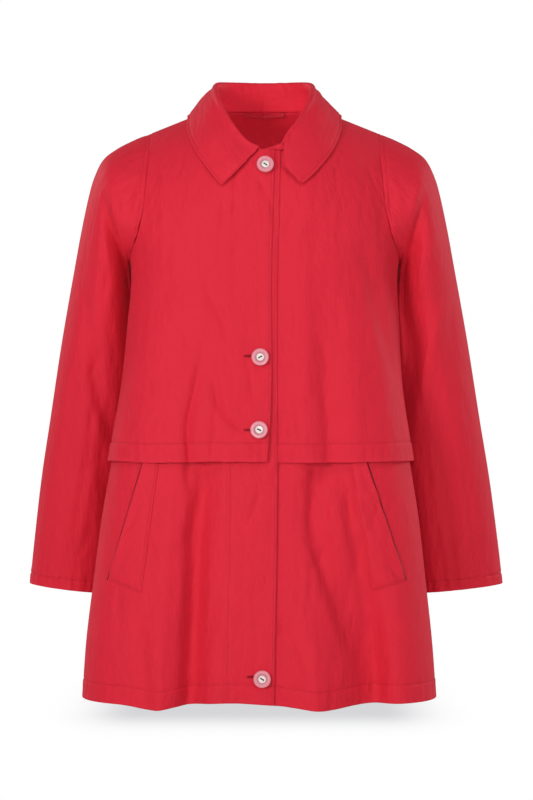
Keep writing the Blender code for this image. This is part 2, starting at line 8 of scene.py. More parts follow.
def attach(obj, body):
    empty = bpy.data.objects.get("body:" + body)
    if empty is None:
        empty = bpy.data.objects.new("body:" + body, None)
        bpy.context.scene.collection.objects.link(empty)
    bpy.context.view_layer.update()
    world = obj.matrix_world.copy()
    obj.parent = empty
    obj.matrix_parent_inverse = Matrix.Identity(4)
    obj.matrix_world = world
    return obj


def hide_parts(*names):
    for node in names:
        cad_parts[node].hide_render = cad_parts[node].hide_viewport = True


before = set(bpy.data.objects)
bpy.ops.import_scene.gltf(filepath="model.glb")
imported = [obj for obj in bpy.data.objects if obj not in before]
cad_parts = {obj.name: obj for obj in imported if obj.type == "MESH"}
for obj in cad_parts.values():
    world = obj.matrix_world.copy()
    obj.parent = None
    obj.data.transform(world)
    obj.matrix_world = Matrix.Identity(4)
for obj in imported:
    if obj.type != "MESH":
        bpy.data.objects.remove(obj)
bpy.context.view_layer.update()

bpy.ops.object.select_all(action="DESELECT")
print("frame loaded:", len(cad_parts), "nodes")

# metres, +Z up, the coat faces -Y, its wearer's left is +X

cloth = {
    "wall": 0.0012, "collarWall": 0.0018, "layerGap": 0.0004, "seamGap": 0.00004, "armholeGap": 0.0002,
    "edgeTurn": 0.32, "wearReach": 0.0035, "seamWear": 0.002,
}
sides = ((-1, "right"), (1, "left"))
waveLook = {"height": 0.6, "phase": 6.28, "tilt": 0.9}
crinkleLook = {"tilt": 0.45, "bend": 0.12, "reach": 3}


def makeTable(names, rows):
    return {name: np.array(values, float) for name, values in zip(names.split(), zip(*rows))}


def smoothAt(at, knots, values):  # a smooth curve through the values at rising knots, level past both ends
    slopes = np.gradient(values, knots)
    i = np.clip(np.searchsorted(knots, at) - 1, 0, len(knots) - 2)
    span = knots[i + 1] - knots[i]
    t = np.clip((at - knots[i]) / span, 0, 1)
    start = values[i] * (1 + 2 * t) + slopes[i] * span * t
    end = values[i + 1] * (3 - 2 * t) + slopes[i + 1] * span * (t - 1)
    return start * (1 - t) ** 2 + end * t**2


def ease(t):
    t = np.clip(t, 0, 1)
    return t * t * (3 - 2 * t)


def bell(distance, width):
    return np.exp(-((distance / width) ** 2))


def unit(vectors):
    return vectors / np.maximum(np.linalg.norm(vectors, axis=-1, keepdims=True), 1e-9)


def runLength(points):
    return np.concatenate([[0], np.cumsum(np.linalg.norm(np.diff(points, axis=0), axis=1))])


def valuesAt(at, length, points):
    return np.stack([np.interp(at, length, points[:, k]) for k in range(points.shape[1])], axis=-1)


def evenly(points, count):
    length = runLength(points)
    return valuesAt(np.linspace(0, length[-1], count), length, points)


def closeLoop(grid):
    return np.concatenate([grid, grid[:, :1]], axis=1)


def waves(at, wave, side=0):  # an uneven wave along a line, about 1 high
    seed, shortest, longest, count = wave
    dice = np.random.default_rng(seed + side)
    out = np.zeros(np.shape(at))
    lengths = dice.uniform(shortest, longest, count)
    for length, phase in zip(lengths, dice.uniform(0, waveLook["phase"], count)):
        out = out + np.sin(2 * math.pi * at / length + phase)
    return out / math.sqrt(count / 2) * waveLook["height"]


def unevenness(x, z, seed, shortest, longest, count):  # soft lumps over a face, about 1 high
    dice = np.random.default_rng(seed)
    out = np.zeros(np.broadcast(x, z).shape)
    for _ in range(count):
        length = dice.uniform(shortest, longest)
        turn = dice.uniform(-waveLook["tilt"], waveLook["tilt"])
        phase = dice.uniform(0, waveLook["phase"])
        out = out + np.sin(2 * math.pi * (x * math.cos(turn) + z * math.sin(turn)) / length + phase)
    return out / math.sqrt(count / 2) * waveLook["height"]


def lumpsAt(x, z, table, side=0):  # lumps of several sizes, some drawn out into hanging streaks
    out = 0
    for height, seed, shortest, longest, count, lean, stretch in table:
        lumps = unevenness(x + lean * side * z, stretch * z, seed + side, shortest, longest, count)
        out = out + height * lumps
    return out


def crinkles(x, z, look, side):  # short creases scattered over a face, most of them upright
    dice = np.random.default_rng(look["seed"] + side)
    out = np.zeros(np.broadcast(x, z).shape)
    lowZ, highZ = np.min(z), np.max(z)
    for _ in range(look["count"]):
        midX = dice.uniform(-look["halfX"], look["halfX"])
        midZ = dice.uniform(look["lowZ"], look["highZ"])
        turn = dice.normal(0, crinkleLook["tilt"])
        length, width, depth = (dice.uniform(*look[name]) for name in ("length", "width", "depth"))
        reach = crinkleLook["reach"] * length
        if lowZ > midZ + reach or highZ < midZ - reach:
            continue
        along = (z - midZ) * math.cos(turn) + (x - midX) * math.sin(turn)
        across = (x - midX) * math.cos(turn) - (z - midZ) * math.sin(turn)
        bent = across + crinkleLook["bend"] * along**2 / length
        out = out + depth * bell(bent, width) * bell(along, length)
    return out


# the body's form: level sections from the hem up
bodyForm = {
    "hemZ": -0.7520, "hemSideLift": 0.002, "flapHemZ": -0.451, "underarmZ": -0.195,
    "frontNeckZ": -0.0568, "backNeckZ": 0.0067, "neckHalfWidth": 0.072, "neckPointZ": 0.003,
    "shoulderSlope": 0.404, "shoulderEnd": 0.1455, "frontRound": 0.15, "backRound": 0.13,
    "backSquareness": 1.88, "seamReach": 0.0006,
    "hemRows": 22, "skirtRows": 78, "flapHemRows": 20, "flapRows": 58, "chestRows": 70,
    "frontColumns": 96, "backColumns": 150, "bandDepth": 0.030,
    "linePoints": 120, "armholePoints": 200, "sectionPoints": 700,
}
hemZ, flapHemZ, underarmZ = bodyForm["hemZ"], bodyForm["flapHemZ"], bodyForm["underarmZ"]
frontNeckZ, backNeckZ, neckPointZ = bodyForm["frontNeckZ"], bodyForm["backNeckZ"], bodyForm["neckPointZ"]
neckHalf, linePoints = bodyForm["neckHalfWidth"], bodyForm["linePoints"]
skirtRowCount = bodyForm["hemRows"] + bodyForm["skirtRows"]
flapRowCount = bodyForm["flapHemRows"] + bodyForm["flapRows"]
torsoTable = makeTable("z halfWidth lean widestY frontDepth backDepth squareness", [
    (-0.765, 0.2265, -0.0065, -0.045, 0.128, 0.196, 3.25),
    (-0.684, 0.2210, -0.0068, -0.047, 0.121, 0.192, 3.25),
    (-0.600, 0.2115, -0.0062, -0.049, 0.112, 0.188, 3.20),
    (-0.525, 0.2025, -0.0055, -0.050, 0.105, 0.183, 3.15),
    (-0.451, 0.1905, -0.0048, -0.050, 0.098, 0.177, 3.10),
    (-0.360, 0.1772, -0.0035, -0.046, 0.094, 0.168, 3.00),
    (-0.280, 0.1728, -0.0015, -0.038, 0.095, 0.156, 2.85),
    (-0.195, 0.1718, 0.0000, -0.022, 0.103, 0.135, 2.60),
    (-0.120, 0.1960, 0.0000, -0.002, 0.118, 0.112, 2.45),
    (-0.030, 0.2150, 0.0000, 0.008, 0.120, 0.100, 2.45),
    (0.060, 0.2150, 0.0000, 0.008, 0.120, 0.100, 2.45),
])
armholeTable = makeTable("z x", [
    (-0.195, 0.1718), (-0.186, 0.1700), (-0.165, 0.1610), (-0.130, 0.1535),
    (-0.090, 0.1495), (-0.055, 0.1470), (-0.0267, 0.1455),
])
frontEdgeTable = makeTable("z panel flap", [
    (-0.765, 0.0115, -0.0005), (-0.451, 0.0160, 0.0034), (-0.400, 0.0160, 0.0070),
    (-0.200, 0.0165, 0.0088), (-0.054, 0.0205, 0.0131),
])

# creases seen from the front: x, z and how far out along each, and how far each spreads to either side
flapCreases = {
    "leftMiddle": {"right": 0.0150, "left": 0.0210, "path": [
        (0.0773, -0.216, 0.0000), (0.0742, -0.260, -0.0030), (0.0740, -0.310, -0.0062),
        (0.0762, -0.354, -0.0090), (0.0803, -0.411, -0.0105), (0.0820, -0.455, -0.0110),
        (0.0820, -0.500, 0.0000)]},
    "leftSide": {"right": 0.0089, "left": 0.0165, "path": [
        (0.1212, -0.162, 0.0000), (0.1275, -0.185, -0.0024), (0.1375, -0.235, -0.0060),
        (0.1463, -0.273, -0.0075), (0.1626, -0.342, -0.0080), (0.1701, -0.401, -0.0070),
        (0.1751, -0.461, -0.0030), (0.1760, -0.500, 0.0000)]},
    "rightTrough": {"right": 0.0051, "left": 0.0102, "path": [
        (-0.0783, -0.290, 0.0000), (-0.0800, -0.319, -0.0020), (-0.0889, -0.363, -0.0050),
        (-0.0965, -0.398, -0.0068), (-0.0975, -0.423, -0.0074), (-0.0960, -0.455, -0.0074),
        (-0.0950, -0.500, 0.0000)]},
    "rightDiagonal": {"right": 0.0051, "left": 0.0076, "path": [
        (-0.0696, -0.335, 0.0000), (-0.0645, -0.351, -0.0024), (-0.0495, -0.394, -0.0042),
        (-0.0307, -0.411, -0.0026), (-0.0219, -0.417, 0.0000)]},
    "rightUpper": {"right": 0.0064, "left": 0.0076, "path": [
        (-0.0783, -0.210, 0.0000), (-0.0708, -0.235, -0.0018), (-0.0495, -0.281, -0.0028),
        (-0.0419, -0.308, 0.0000)]},
    "rightEdge": {"right": 0.0038, "left": 0.0051, "path": [
        (-0.0219, -0.325, 0.0000), (-0.0181, -0.344, -0.0016), (-0.0156, -0.363, -0.0016),
        (-0.0131, -0.383, 0.0000)]},
}
skirtCreases = {
    "rightTrough": {"right": 0.0118, "left": 0.0220, "path": [
        (-0.0770, -0.434, 0.0000), (-0.0772, -0.453, -0.0090), (-0.0785, -0.482, -0.0140),
        (-0.0860, -0.530, -0.0170), (-0.0888, -0.593, -0.0200), (-0.0910, -0.655, -0.0230),
        (-0.0932, -0.715, -0.0240), (-0.0945, -0.765, -0.0240)]},
    "rightLow": {"right": 0.0085, "left": 0.0085, "path": [
        (-0.1570, -0.620, 0.0000), (-0.1530, -0.673, -0.0028), (-0.1475, -0.723, -0.0040),
        (-0.1450, -0.765, -0.0040)]},
    "rightRidge": {"right": 0.0203, "left": 0.0114, "path": [
        (-0.1160, -0.473, 0.0000), (-0.1235, -0.549, 0.0030), (-0.1273, -0.624, 0.0060),
        (-0.1310, -0.699, 0.0080), (-0.1336, -0.765, 0.0090)]},
    "rightSecond": {"right": 0.0076, "left": 0.0102, "path": [
        (-0.0745, -0.451, 0.0000), (-0.0770, -0.499, -0.0028), (-0.0830, -0.608, -0.0045),
        (-0.0850, -0.702, -0.0036), (-0.0860, -0.757, -0.0010)]},
    "rightFly": {"right": 0.0089, "left": 0.0089, "path": [
        (-0.0419, -0.486, 0.0000), (-0.0432, -0.530, -0.0012), (-0.0558, -0.608, -0.0020),
        (-0.0683, -0.668, -0.0015), (-0.0746, -0.702, 0.0000)]},
    "rightMiddle": {"right": 0.0279, "left": 0.0279, "path": [
        (-0.0256, -0.599, 0.0000), (-0.0307, -0.674, -0.0020), (-0.0357, -0.765, -0.0040)]},
    "leftTrough": {"right": 0.0098, "left": 0.0250, "path": [
        (0.0645, -0.434, 0.0000), (0.0635, -0.455, -0.0080), (0.0615, -0.485, -0.0110),
        (0.0600, -0.523, -0.0115), (0.0725, -0.573, -0.0120), (0.0890, -0.623, -0.0105),
        (0.1060, -0.673, -0.0050), (0.1200, -0.715, 0.0000)]},
    "leftDeep": {"right": 0.0340, "left": 0.0200, "path": [
        (0.1130, -0.535, 0.0000), (0.1210, -0.580, -0.0080), (0.1280, -0.623, -0.0210),
        (0.1330, -0.673, -0.0310), (0.1360, -0.723, -0.0350), (0.1370, -0.765, -0.0350)]},
    "leftRidge": {"right": 0.0165, "left": 0.0152, "path": [
        (0.0321, -0.561, 0.0000), (0.0446, -0.624, 0.0020), (0.0597, -0.674, 0.0050),
        (0.0647, -0.724, 0.0080), (0.0672, -0.765, 0.0090)]},
    "leftSecond": {"right": 0.0098, "left": 0.0090, "path": [
        (0.1000, -0.440, 0.0000), (0.1035, -0.470, -0.0060), (0.1065, -0.514, -0.0085),
        (0.1150, -0.561, -0.0080), (0.1220, -0.612, -0.0030), (0.1240, -0.639, 0.0000)]},
    "leftPocket": {"right": 0.0064, "left": 0.0076, "path": [
        (0.1463, -0.484, 0.0000), (0.1413, -0.505, -0.0014), (0.1262, -0.543, -0.0024),
        (0.1162, -0.576, -0.0022), (0.1036, -0.614, -0.0012), (0.0973, -0.642, 0.0000)]},
    "leftUpper": {"right": 0.0064, "left": 0.0064, "path": [
        (0.0208, -0.546, 0.0000), (0.0258, -0.580, -0.0012), (0.0409, -0.614, -0.0016),
        (0.0497, -0.639, 0.0000)]},
    "leftLower": {"right": 0.0064, "left": 0.0064, "path": [
        (0.0208, -0.634, 0.0000), (0.0246, -0.662, -0.0013), (0.0384, -0.699, -0.0020),
        (0.0446, -0.742, 0.0000)]},
    "leftSide": {"right": 0.0089, "left": 0.0089, "path": [
        (0.1538, -0.599, 0.0000), (0.1588, -0.624, -0.0015), (0.1613, -0.668, -0.0018),
        (0.1638, -0.709, 0.0000)]},
}
frontCreases = {**{"flap" + name: crease for name, crease in flapCreases.items()},
                **{"skirt" + name: crease for name, crease in skirtCreases.items()}}
backCreases = {
    "rightTrough": {"right": 0.0220, "left": 0.0150, "path": [
        (-0.0500, -0.290, 0.0000), (-0.0590, -0.400, -0.0040), (-0.0720, -0.560, -0.0090),
        (-0.0880, -0.765, -0.0140)]},
    "middleRidge": {"right": 0.0200, "left": 0.0240, "path": [
        (-0.0150, -0.350, 0.0000), (-0.0230, -0.560, 0.0050), (-0.0320, -0.765, 0.0100)]},
    "leftTrough": {"right": 0.0130, "left": 0.0210, "path": [
        (0.0290, -0.310, 0.0000), (0.0330, -0.450, -0.0040), (0.0360, -0.600, -0.0080),
        (0.0420, -0.765, -0.0110)]},
    "leftRidge": {"right": 0.0260, "left": 0.0260, "path": [
        (0.0850, -0.270, 0.0000), (0.0950, -0.500, 0.0040), (0.1080, -0.765, 0.0090)]},
    "rightBlade": {"right": 0.0150, "left": 0.0110, "path": [
        (-0.1200, -0.100, 0.0000), (-0.1120, -0.160, -0.0030), (-0.1000, -0.230, -0.0030),
        (-0.0920, -0.300, 0.0000)]},
    "leftBlade": {"right": 0.0100, "left": 0.0140, "path": [
        (0.1250, -0.095, 0.0000), (0.1180, -0.150, -0.0030), (0.1080, -0.215, -0.0028),
        (0.1020, -0.270, 0.0000)]},
    "sideRight": {"right": 0.0120, "left": 0.0090, "path": [
        (-0.1400, -0.420, 0.0000), (-0.1480, -0.520, -0.0030), (-0.1560, -0.620, -0.0040),
        (-0.1600, -0.700, 0.0000)]},
    "sideLeft": {"right": 0.0090, "left": 0.0120, "path": [
        (0.1380, -0.360, 0.0000), (0.1440, -0.450, -0.0026), (0.1500, -0.560, -0.0036),
        (0.1560, -0.660, 0.0000)]},
}
bodyCrinkles = {
    "seed": 17, "count": 280, "halfX": 0.22, "lowZ": -0.76, "highZ": -0.03,
    "length": (0.010, 0.036), "width": (0.0026, 0.0070), "depth": (-0.0019, 0.0010),
}
bodyLumps = [  # height, seed, shortest and longest wave, count, lean and stretch
    (0.0006, 11, 0.05, 0.16, 9, 0, 1), (0.00022, 12, 0.016, 0.04, 12, 0, 1),
    (0.00050, 13, 0.014, 0.045, 10, 0, 0.14),
]
hemDrops = {  # x, spread and how much lower the hem hangs there
    -1: [(-0.133, 0.030, 0.006), (0.070, 0.036, 0.006), (-0.042, 0.045, -0.003), (-0.115, 0.015, -0.001)],
    1: [(-0.032, 0.033, 0.004), (0.108, 0.039, 0.004), (-0.088, 0.033, -0.001), (0.042, 0.030, -0.001)],
}


def torsoSize(name, z):
    return smoothAt(z, torsoTable["z"], torsoTable[name])


def shoulderLine(x):
    return neckPointZ - bodyForm["shoulderSlope"] * (np.abs(x) - neckHalf)


def creaseReach(creases, x, z):
    out = np.zeros(np.broadcast(x, z).shape)
    for crease in creases.values():
        pathX, pathZ, depth = np.array(crease["path"])[::-1].T
        away = x - smoothAt(z, pathZ, pathX)
        spread = np.where(away < 0, crease["right"], crease["left"])
        out = out + smoothAt(z, pathZ, depth) * bell(away, spread)
    return out


def bodyDepth(x, z, facing, creases):  # the cloth's depth on the front (-1) or back (1)
    across = np.clip(np.abs(x - torsoSize("lean", z)) / torsoSize("halfWidth", z), 0, 1)
    squareness = torsoSize("squareness", z) if facing < 0 else bodyForm["backSquareness"]
    bulge = (1 - across**squareness) ** (1 / squareness)
    drop = (shoulderLine(x) - z) / bodyForm["frontRound" if facing < 0 else "backRound"]
    rounding = np.sqrt(1 - (1 - np.clip(drop, 0, 1)) ** 2)
    depth = torsoSize("frontDepth" if facing < 0 else "backDepth", z)
    lumps = lumpsAt(x, z, bodyLumps) + crinkles(x, z, bodyCrinkles, facing)
    folds = creaseReach(creases, x, z) + lumps * np.clip(drop * 2, 0, 1)
    return torsoSize("widestY", z) + facing * (depth * bulge * rounding + folds * bulge)


def bodyPoints(x, z, facing, creases):
    return np.stack([x, bodyDepth(x, z, facing, creases), z + 0 * x], axis=-1)


def levelRow(z, facing, startX, endX, count, creases):
    lean, half = torsoSize("lean", z), torsoSize("halfWidth", z)
    angles = np.arcsin(np.clip((np.array([startX, endX]) - lean) / half, -1, 1))
    x = lean + half * np.sin(np.linspace(angles[0], angles[1], bodyForm["sectionPoints"]))
    row = evenly(bodyPoints(x, np.full(x.shape, z), facing, creases), count)
    nearHem = ease((underarmZ - z) / (underarmZ - hemZ)) ** 2
    for dropX, spread, drop in hemDrops[facing]:
        row[:, 2] -= nearHem * drop * bell(row[:, 0] - dropX, spread)
    row[:, 2] += nearHem * bodyForm["hemSideLift"] * np.abs((row[:, 0] - lean) / half) ** 6
    return row


def frontNeckline():
    turn = np.linspace(math.pi / 2, 0, linePoints)
    return np.stack([neckHalf * np.cos(turn), neckPointZ - (neckPointZ - frontNeckZ) * np.sin(turn)], -1)


def backNeckline():
    x = neckHalf * np.sin(np.linspace(0, math.pi / 2, linePoints))
    return np.stack([x, backNeckZ + (neckPointZ - backNeckZ) * (x / neckHalf) ** 2], -1)


def shoulderSeam():
    x = np.linspace(neckHalf, bodyForm["shoulderEnd"], linePoints)
    return np.stack([x, shoulderLine(x)], -1)


def armholeLine(side):
    z = np.linspace(armholeTable["z"][0], shoulderLine(bodyForm["shoulderEnd"]), bodyForm["armholePoints"])
    return np.stack([side * smoothAt(z, armholeTable["z"], armholeTable["x"]), z], -1)


def fillBetween(bottom, top, left, right, rows):  # points that fill four edge lines
    across = np.linspace(0, 1, len(bottom))[None, :, None]
    up = np.linspace(0, 1, rows + 1)[:, None, None]
    left, right = evenly(left, rows + 1)[:, None, :], evenly(right, rows + 1)[:, None, :]
    first = (1 - up) * bottom[0] + up * top[0]
    last = (1 - up) * bottom[-1] + up * top[-1]
    return (1 - up) * bottom + up * top + (1 - across) * (left - first) + across * (right - last)


def bodyLevels():  # closer rows in the bands of the two hems
    band = bodyForm["bandDepth"]
    stops = (hemZ, hemZ + band, flapHemZ, flapHemZ + band, underarmZ)
    counts = [bodyForm[name] for name in ("hemRows", "skirtRows", "flapHemRows", "flapRows")]
    parts = [np.linspace(low, high, count + 1)[1:] for low, high, count in zip(stops, stops[1:], counts)]
    return np.concatenate([[hemZ]] + parts)


def frontEdge(piece, z):
    return smoothAt(z, frontEdgeTable["z"], frontEdgeTable[piece])


def bodyGrid(rows, top, left, right, facing, creases):  # level rows, and the chest above them
    flat = fillBetween(rows[-1][:, [0, 2]], top, left, right, bodyForm["chestRows"])[1:]
    return np.concatenate([rows, bodyPoints(flat[..., 0], flat[..., 1], facing, creases)])


def frontPoints(side, creases):
    columns = bodyForm["frontColumns"] + 1
    rows = []
    for z in bodyLevels():
        seamX = torsoSize("lean", z) + side * torsoSize("halfWidth", z)
        rows.append(levelRow(z, -1, -side * frontEdge("panel", z), seamX, columns, creases))
    corner = [[-frontEdge("panel", frontNeckZ), frontNeckZ]]
    top = evenly(np.concatenate([corner, frontNeckline(), shoulderSeam()[1:]]) * (side, 1), columns)
    edgeZ = np.linspace(underarmZ, frontNeckZ, linePoints)
    edge = np.stack([-side * frontEdge("panel", edgeZ), edgeZ], -1)
    return bodyGrid(rows, top, edge, armholeLine(side), -1, creases)


def backPoints():
    columns = bodyForm["backColumns"] + 1
    rows = []
    for z in bodyLevels():
        lean, half = torsoSize("lean", z), torsoSize("halfWidth", z)
        rows.append(levelRow(z, 1, lean - half, lean + half, columns, backCreases))
    halfTop = np.concatenate([backNeckline(), shoulderSeam()[1:]])
    top = evenly(np.concatenate([halfTop[::-1] * (-1, 1), halfTop[1:]]), columns)
    return bodyGrid(rows, top, armholeLine(-1), armholeLine(1), 1, backCreases)


def gridNormals(grid, closed=False):
    along = np.gradient(grid, axis=0, edge_order=2)
    across = np.gradient(grid, axis=1, edge_order=2)
    if closed:
        across = np.roll(grid, -1, axis=1) - np.roll(grid, 1, axis=1)
    return unit(np.cross(across, along))


def bodyNormals(grid, facing):
    normal = gridNormals(grid)
    normal *= facing * np.sign(np.sum(normal[..., 1]))
    onSeam = np.abs(grid[..., 1] - torsoSize("widestY", grid[..., 2])) < bodyForm["seamReach"]
    normal[onSeam, 1] = 0
    return unit(normal)


def arcAcross(grid):
    steps = np.linalg.norm(np.diff(grid, axis=1), axis=2)
    return np.concatenate([np.zeros((len(grid), 1)), np.cumsum(steps, axis=1)], axis=1)


def arcAlong(grid):
    return arcAcross(np.swapaxes(grid, 0, 1)).T


def gridArea(grid):
    a, b = grid[1:, 1:] - grid[:-1, :-1], grid[1:, :-1] - grid[:-1, 1:]
    return float(np.linalg.norm(np.cross(a, b), axis=-1).sum() / 2)


def tellSize(name, grid, across, along):
    width, length = float(np.max(across)), float(np.max(along))
    print(name, "area", round(gridArea(grid), 5), "width", round(width, 3), "length", round(length, 3))


# finishes
finishes = {
    "cloth": {"red": (0.69, 0.0175, 0.04), "shade": (0.61, 0.0135, 0.032), "worn": (0.7, 0.022, 0.046),
              "threadPitch": 0.00062, "roughness": 0.66, "roughDrop": 0.06, "roughSpread": 0.14,
              "toneShare": 0.75, "mottleShare": 0.45, "mottleScale": 26.0, "rub": 0.7,
              "crumple": (110, 42, 1), "crumpleStrength": 0.7, "crumpleDeep": 0.0024,
              "weaveStrength": 0.35, "weaveDeep": 0.00010},
    "weave": {"warp": (1500, 60, 1), "weft": (60, 1500, 1), "half": 0.5},
    # the red thread is darker than the cloth, partly its own colour and partly painted shade of the stitch
    # dimples
    "thread": {"red": (0.36, 0.0082, 0.0185), "satin": (0.56, 0.014, 0.030), "dark": (0.012, 0.016, 0.014),
               "dim": 0.6, "roughness": 0.55, "fibreScale": 2600.0},
    "pearl": {"rim": (0.62, 0.130, 0.185), "rimPale": (0.74, 0.230, 0.285), "ring": (0.42, 0.17, 0.20),
              "centre": (0.80, 0.74, 0.69), "cloud": (0.86, 0.62, 0.62), "cloudShare": 0.30,
              "cloudScale": 2.6, "cloudStretch": (1.0, 2.4, 1.0), "roughness": 0.24, "roughSpread": 0.12},
    # the slit colour is painted shade for the inside of a buttonhole slit, the pocket-mouth colour painted
    # shade for the inside of a pocket
    "slitShadeColour": (0.150, 0.005, 0.011), "paintedPocketShade": (0.24, 0.005, 0.012),
    # floor colours; the shade colour is the painted shadow that the camera sees round the hem
    "floor": (0.93, 0.93, 0.93), "floorPaintedShadow": (0.67, 0.67, 0.69), "floorDim": 0.985,
}


def setInputs(node, values):
    for name, value in values.items():
        node.inputs[name].default_value = value


def newMaterial(name, roughness):
    made = bpy.data.materials.new(name)
    made.use_nodes = True
    shader = made.node_tree.nodes["Principled BSDF"]
    setInputs(shader, {"Roughness": roughness})
    return made, made.node_tree, shader


def fillSockets(tree, sockets, values):  # a value is set, an output is linked
    for socket, value in zip(sockets, values):
        if isinstance(value, tuple) and socket.type == "RGBA":
            socket.default_value = (*value, 1)
        elif isinstance(value, (int, float, tuple)):
            socket.default_value = value
        elif value is not None:
            tree.links.new(value, socket)


def mathNode(tree, operation, first, second=None, kind="ShaderNodeMath"):
    node = tree.nodes.new(kind)
    node.operation = operation
    fillSockets(tree, node.inputs, (first, second))
    return node.outputs["Value" if operation == "LENGTH" else 0]


def mixColours(tree, share, first, second):
    node = tree.nodes.new("ShaderNodeMix")
    node.data_type = "RGBA"
    fillSockets(tree, (node.inputs[0], node.inputs[6], node.inputs[7]), (share, first, second))
    return node.outputs[2]


def noiseNode(tree, place, scale, detail, stretch=None):
    if stretch:
        mapping = tree.nodes.new("ShaderNodeMapping")
        setInputs(mapping, {"Scale": stretch})
        tree.links.new(place, mapping.inputs["Vector"])
        place = mapping.outputs[0]
    node = tree.nodes.new("ShaderNodeTexNoise")
    setInputs(node, {"Scale": scale, "Detail": detail})
    tree.links.new(place, node.inputs["Vector"])
    return node.outputs["Fac"]


def bumpNode(tree, height, strength, distance, normal=None):
    node = tree.nodes.new("ShaderNodeBump")
    setInputs(node, {"Strength": strength, "Distance": distance})
    tree.links.new(height, node.inputs["Height"])
    if normal:
        tree.links.new(normal, node.inputs["Normal"])
    return node.outputs[0]


def mapNode(tree, name):
    node = tree.nodes.new("ShaderNodeUVMap")
    node.uv_map = name
    return node.outputs[0]


def closeWeaveGroup():  # plain weave over a map in metres: its height, and how the threads vary in tone
    look = finishes["weave"]
    tree = bpy.data.node_groups.new("closeWeave", "ShaderNodeTree")
    sockets = (("Map", "INPUT", "Vector"), ("Pitch", "INPUT", "Float"),
               ("Height", "OUTPUT", "Float"), ("Tone", "OUTPUT", "Float"))
    for name, way, kind in sockets:
        tree.interface.new_socket(name, in_out=way, socket_type="NodeSocket" + kind)
    start, end = tree.nodes.new("NodeGroupInput"), tree.nodes.new("NodeGroupOutput")
    split = tree.nodes.new("ShaderNodeSeparateXYZ")
    tree.links.new(start.outputs["Map"], split.inputs[0])
    turns = mathNode(tree, "DIVIDE", 2 * math.pi, start.outputs["Pitch"])
    across, along = (
        mathNode(tree, "SINE", mathNode(tree, "MULTIPLY", split.outputs[k], turns)) for k in (0, 1))
    overUnder = mathNode(tree, "MULTIPLY", across, along)
    warp, weft = (noiseNode(tree, start.outputs["Map"], 1.0, 2, look[name]) for name in ("warp", "weft"))
    slubs = mathNode(tree, "ADD", warp, weft)
    height = mathNode(tree, "ADD", mathNode(tree, "MULTIPLY", overUnder, look["half"]), slubs)
    tree.links.new(height, end.inputs["Height"])
    tree.links.new(mathNode(tree, "MULTIPLY", slubs, look["half"]), end.inputs["Tone"])
    return tree


closeWeave = closeWeaveGroup()


def clothMaterial(name):
    look = finishes["cloth"]
    made, tree, shader = newMaterial(name, look["roughness"])
    place = mapNode(tree, "weave")
    weave = tree.nodes.new("ShaderNodeGroup")
    weave.node_tree = closeWeave
    setInputs(weave, {"Pitch": look["threadPitch"]})
    tree.links.new(place, weave.inputs["Map"])
    threads = weave.outputs["Tone"]
    mottle = noiseNode(tree, place, look["mottleScale"], 4)
    worn = tree.nodes.new("ShaderNodeAttribute")
    worn.attribute_name = "wear"
    tone = mathNode(tree, "ADD", mathNode(tree, "MULTIPLY", threads, look["toneShare"]),
                    mathNode(tree, "MULTIPLY", mottle, look["mottleShare"]))
    colour = mixColours(tree, tone, look["shade"], look["red"])
    rub = mathNode(tree, "MULTIPLY", worn.outputs["Fac"], mathNode(tree, "MULTIPLY", mottle, look["rub"]))
    tree.links.new(mixColours(tree, rub, colour, look["worn"]), shader.inputs["Base Color"])
    rough = mathNode(tree, "ADD", look["roughness"] - look["roughDrop"],
                     mathNode(tree, "MULTIPLY", threads, look["roughSpread"]))
    tree.links.new(rough, shader.inputs["Roughness"])
    height = noiseNode(tree, place, 1.0, 3, look["crumple"])
    crumple = bumpNode(tree, height, look["crumpleStrength"], look["crumpleDeep"])
    threadBump = bumpNode(tree, weave.outputs["Height"], look["weaveStrength"], look["weaveDeep"], crumple)
    tree.links.new(threadBump, shader.inputs["Normal"])
    setInputs(shader, {"Sheen Weight": 0.30, "Sheen Roughness": 0.50, "Sheen Tint": (1.0, 0.10, 0.14, 1),
                       "Specular IOR Level": 0.16})
    return made


def threadMaterial(name, colour):
    look = finishes["thread"]
    made, tree, shader = newMaterial(name, look["roughness"])
    place = tree.nodes.new("ShaderNodeTexCoord")
    fibre = noiseNode(tree, place.outputs["Object"], look["fibreScale"], 2)
    dim = tuple(look["dim"] * c for c in colour)
    tree.links.new(mixColours(tree, fibre, dim, colour), shader.inputs["Base Color"])
    setInputs(shader, {"Specular IOR Level": 0.2})
    return made


def pearlMaterial(name):
    look = finishes["pearl"]
    made, tree, shader = newMaterial(name, look["roughness"])
    place = mapNode(tree, "face")
    ramp = tree.nodes.new("ShaderNodeValToRGB")
    stops = [(0.0, "centre"), (0.40, "centre"), (0.44, "ring"), (0.52, "ring"),
             (0.58, "rim"), (0.80, "rimPale"), (0.97, "rim")]
    elements = ramp.color_ramp.elements
    while len(elements) < len(stops):
        elements.new(0.5)
    for element, (at, part) in zip(elements, stops):
        element.position = at
        element.color = (*look[part], 1)
    tree.links.new(mathNode(tree, "LENGTH", place, kind="ShaderNodeVectorMath"), ramp.inputs[0])
    cloud = noiseNode(tree, place, look["cloudScale"], 5, look["cloudStretch"])
    share = mathNode(tree, "MULTIPLY", cloud, look["cloudShare"])
    tree.links.new(mixColours(tree, share, ramp.outputs[0], look["cloud"]), shader.inputs["Base Color"])
    rough = mathNode(tree, "ADD", mathNode(tree, "MULTIPLY", cloud, look["roughSpread"]), look["roughness"])
    tree.links.new(rough, shader.inputs["Roughness"])
    setInputs(shader, {"Coat Weight": 0.12, "Coat Roughness": 0.12, "Specular IOR Level": 0.30})
    return made


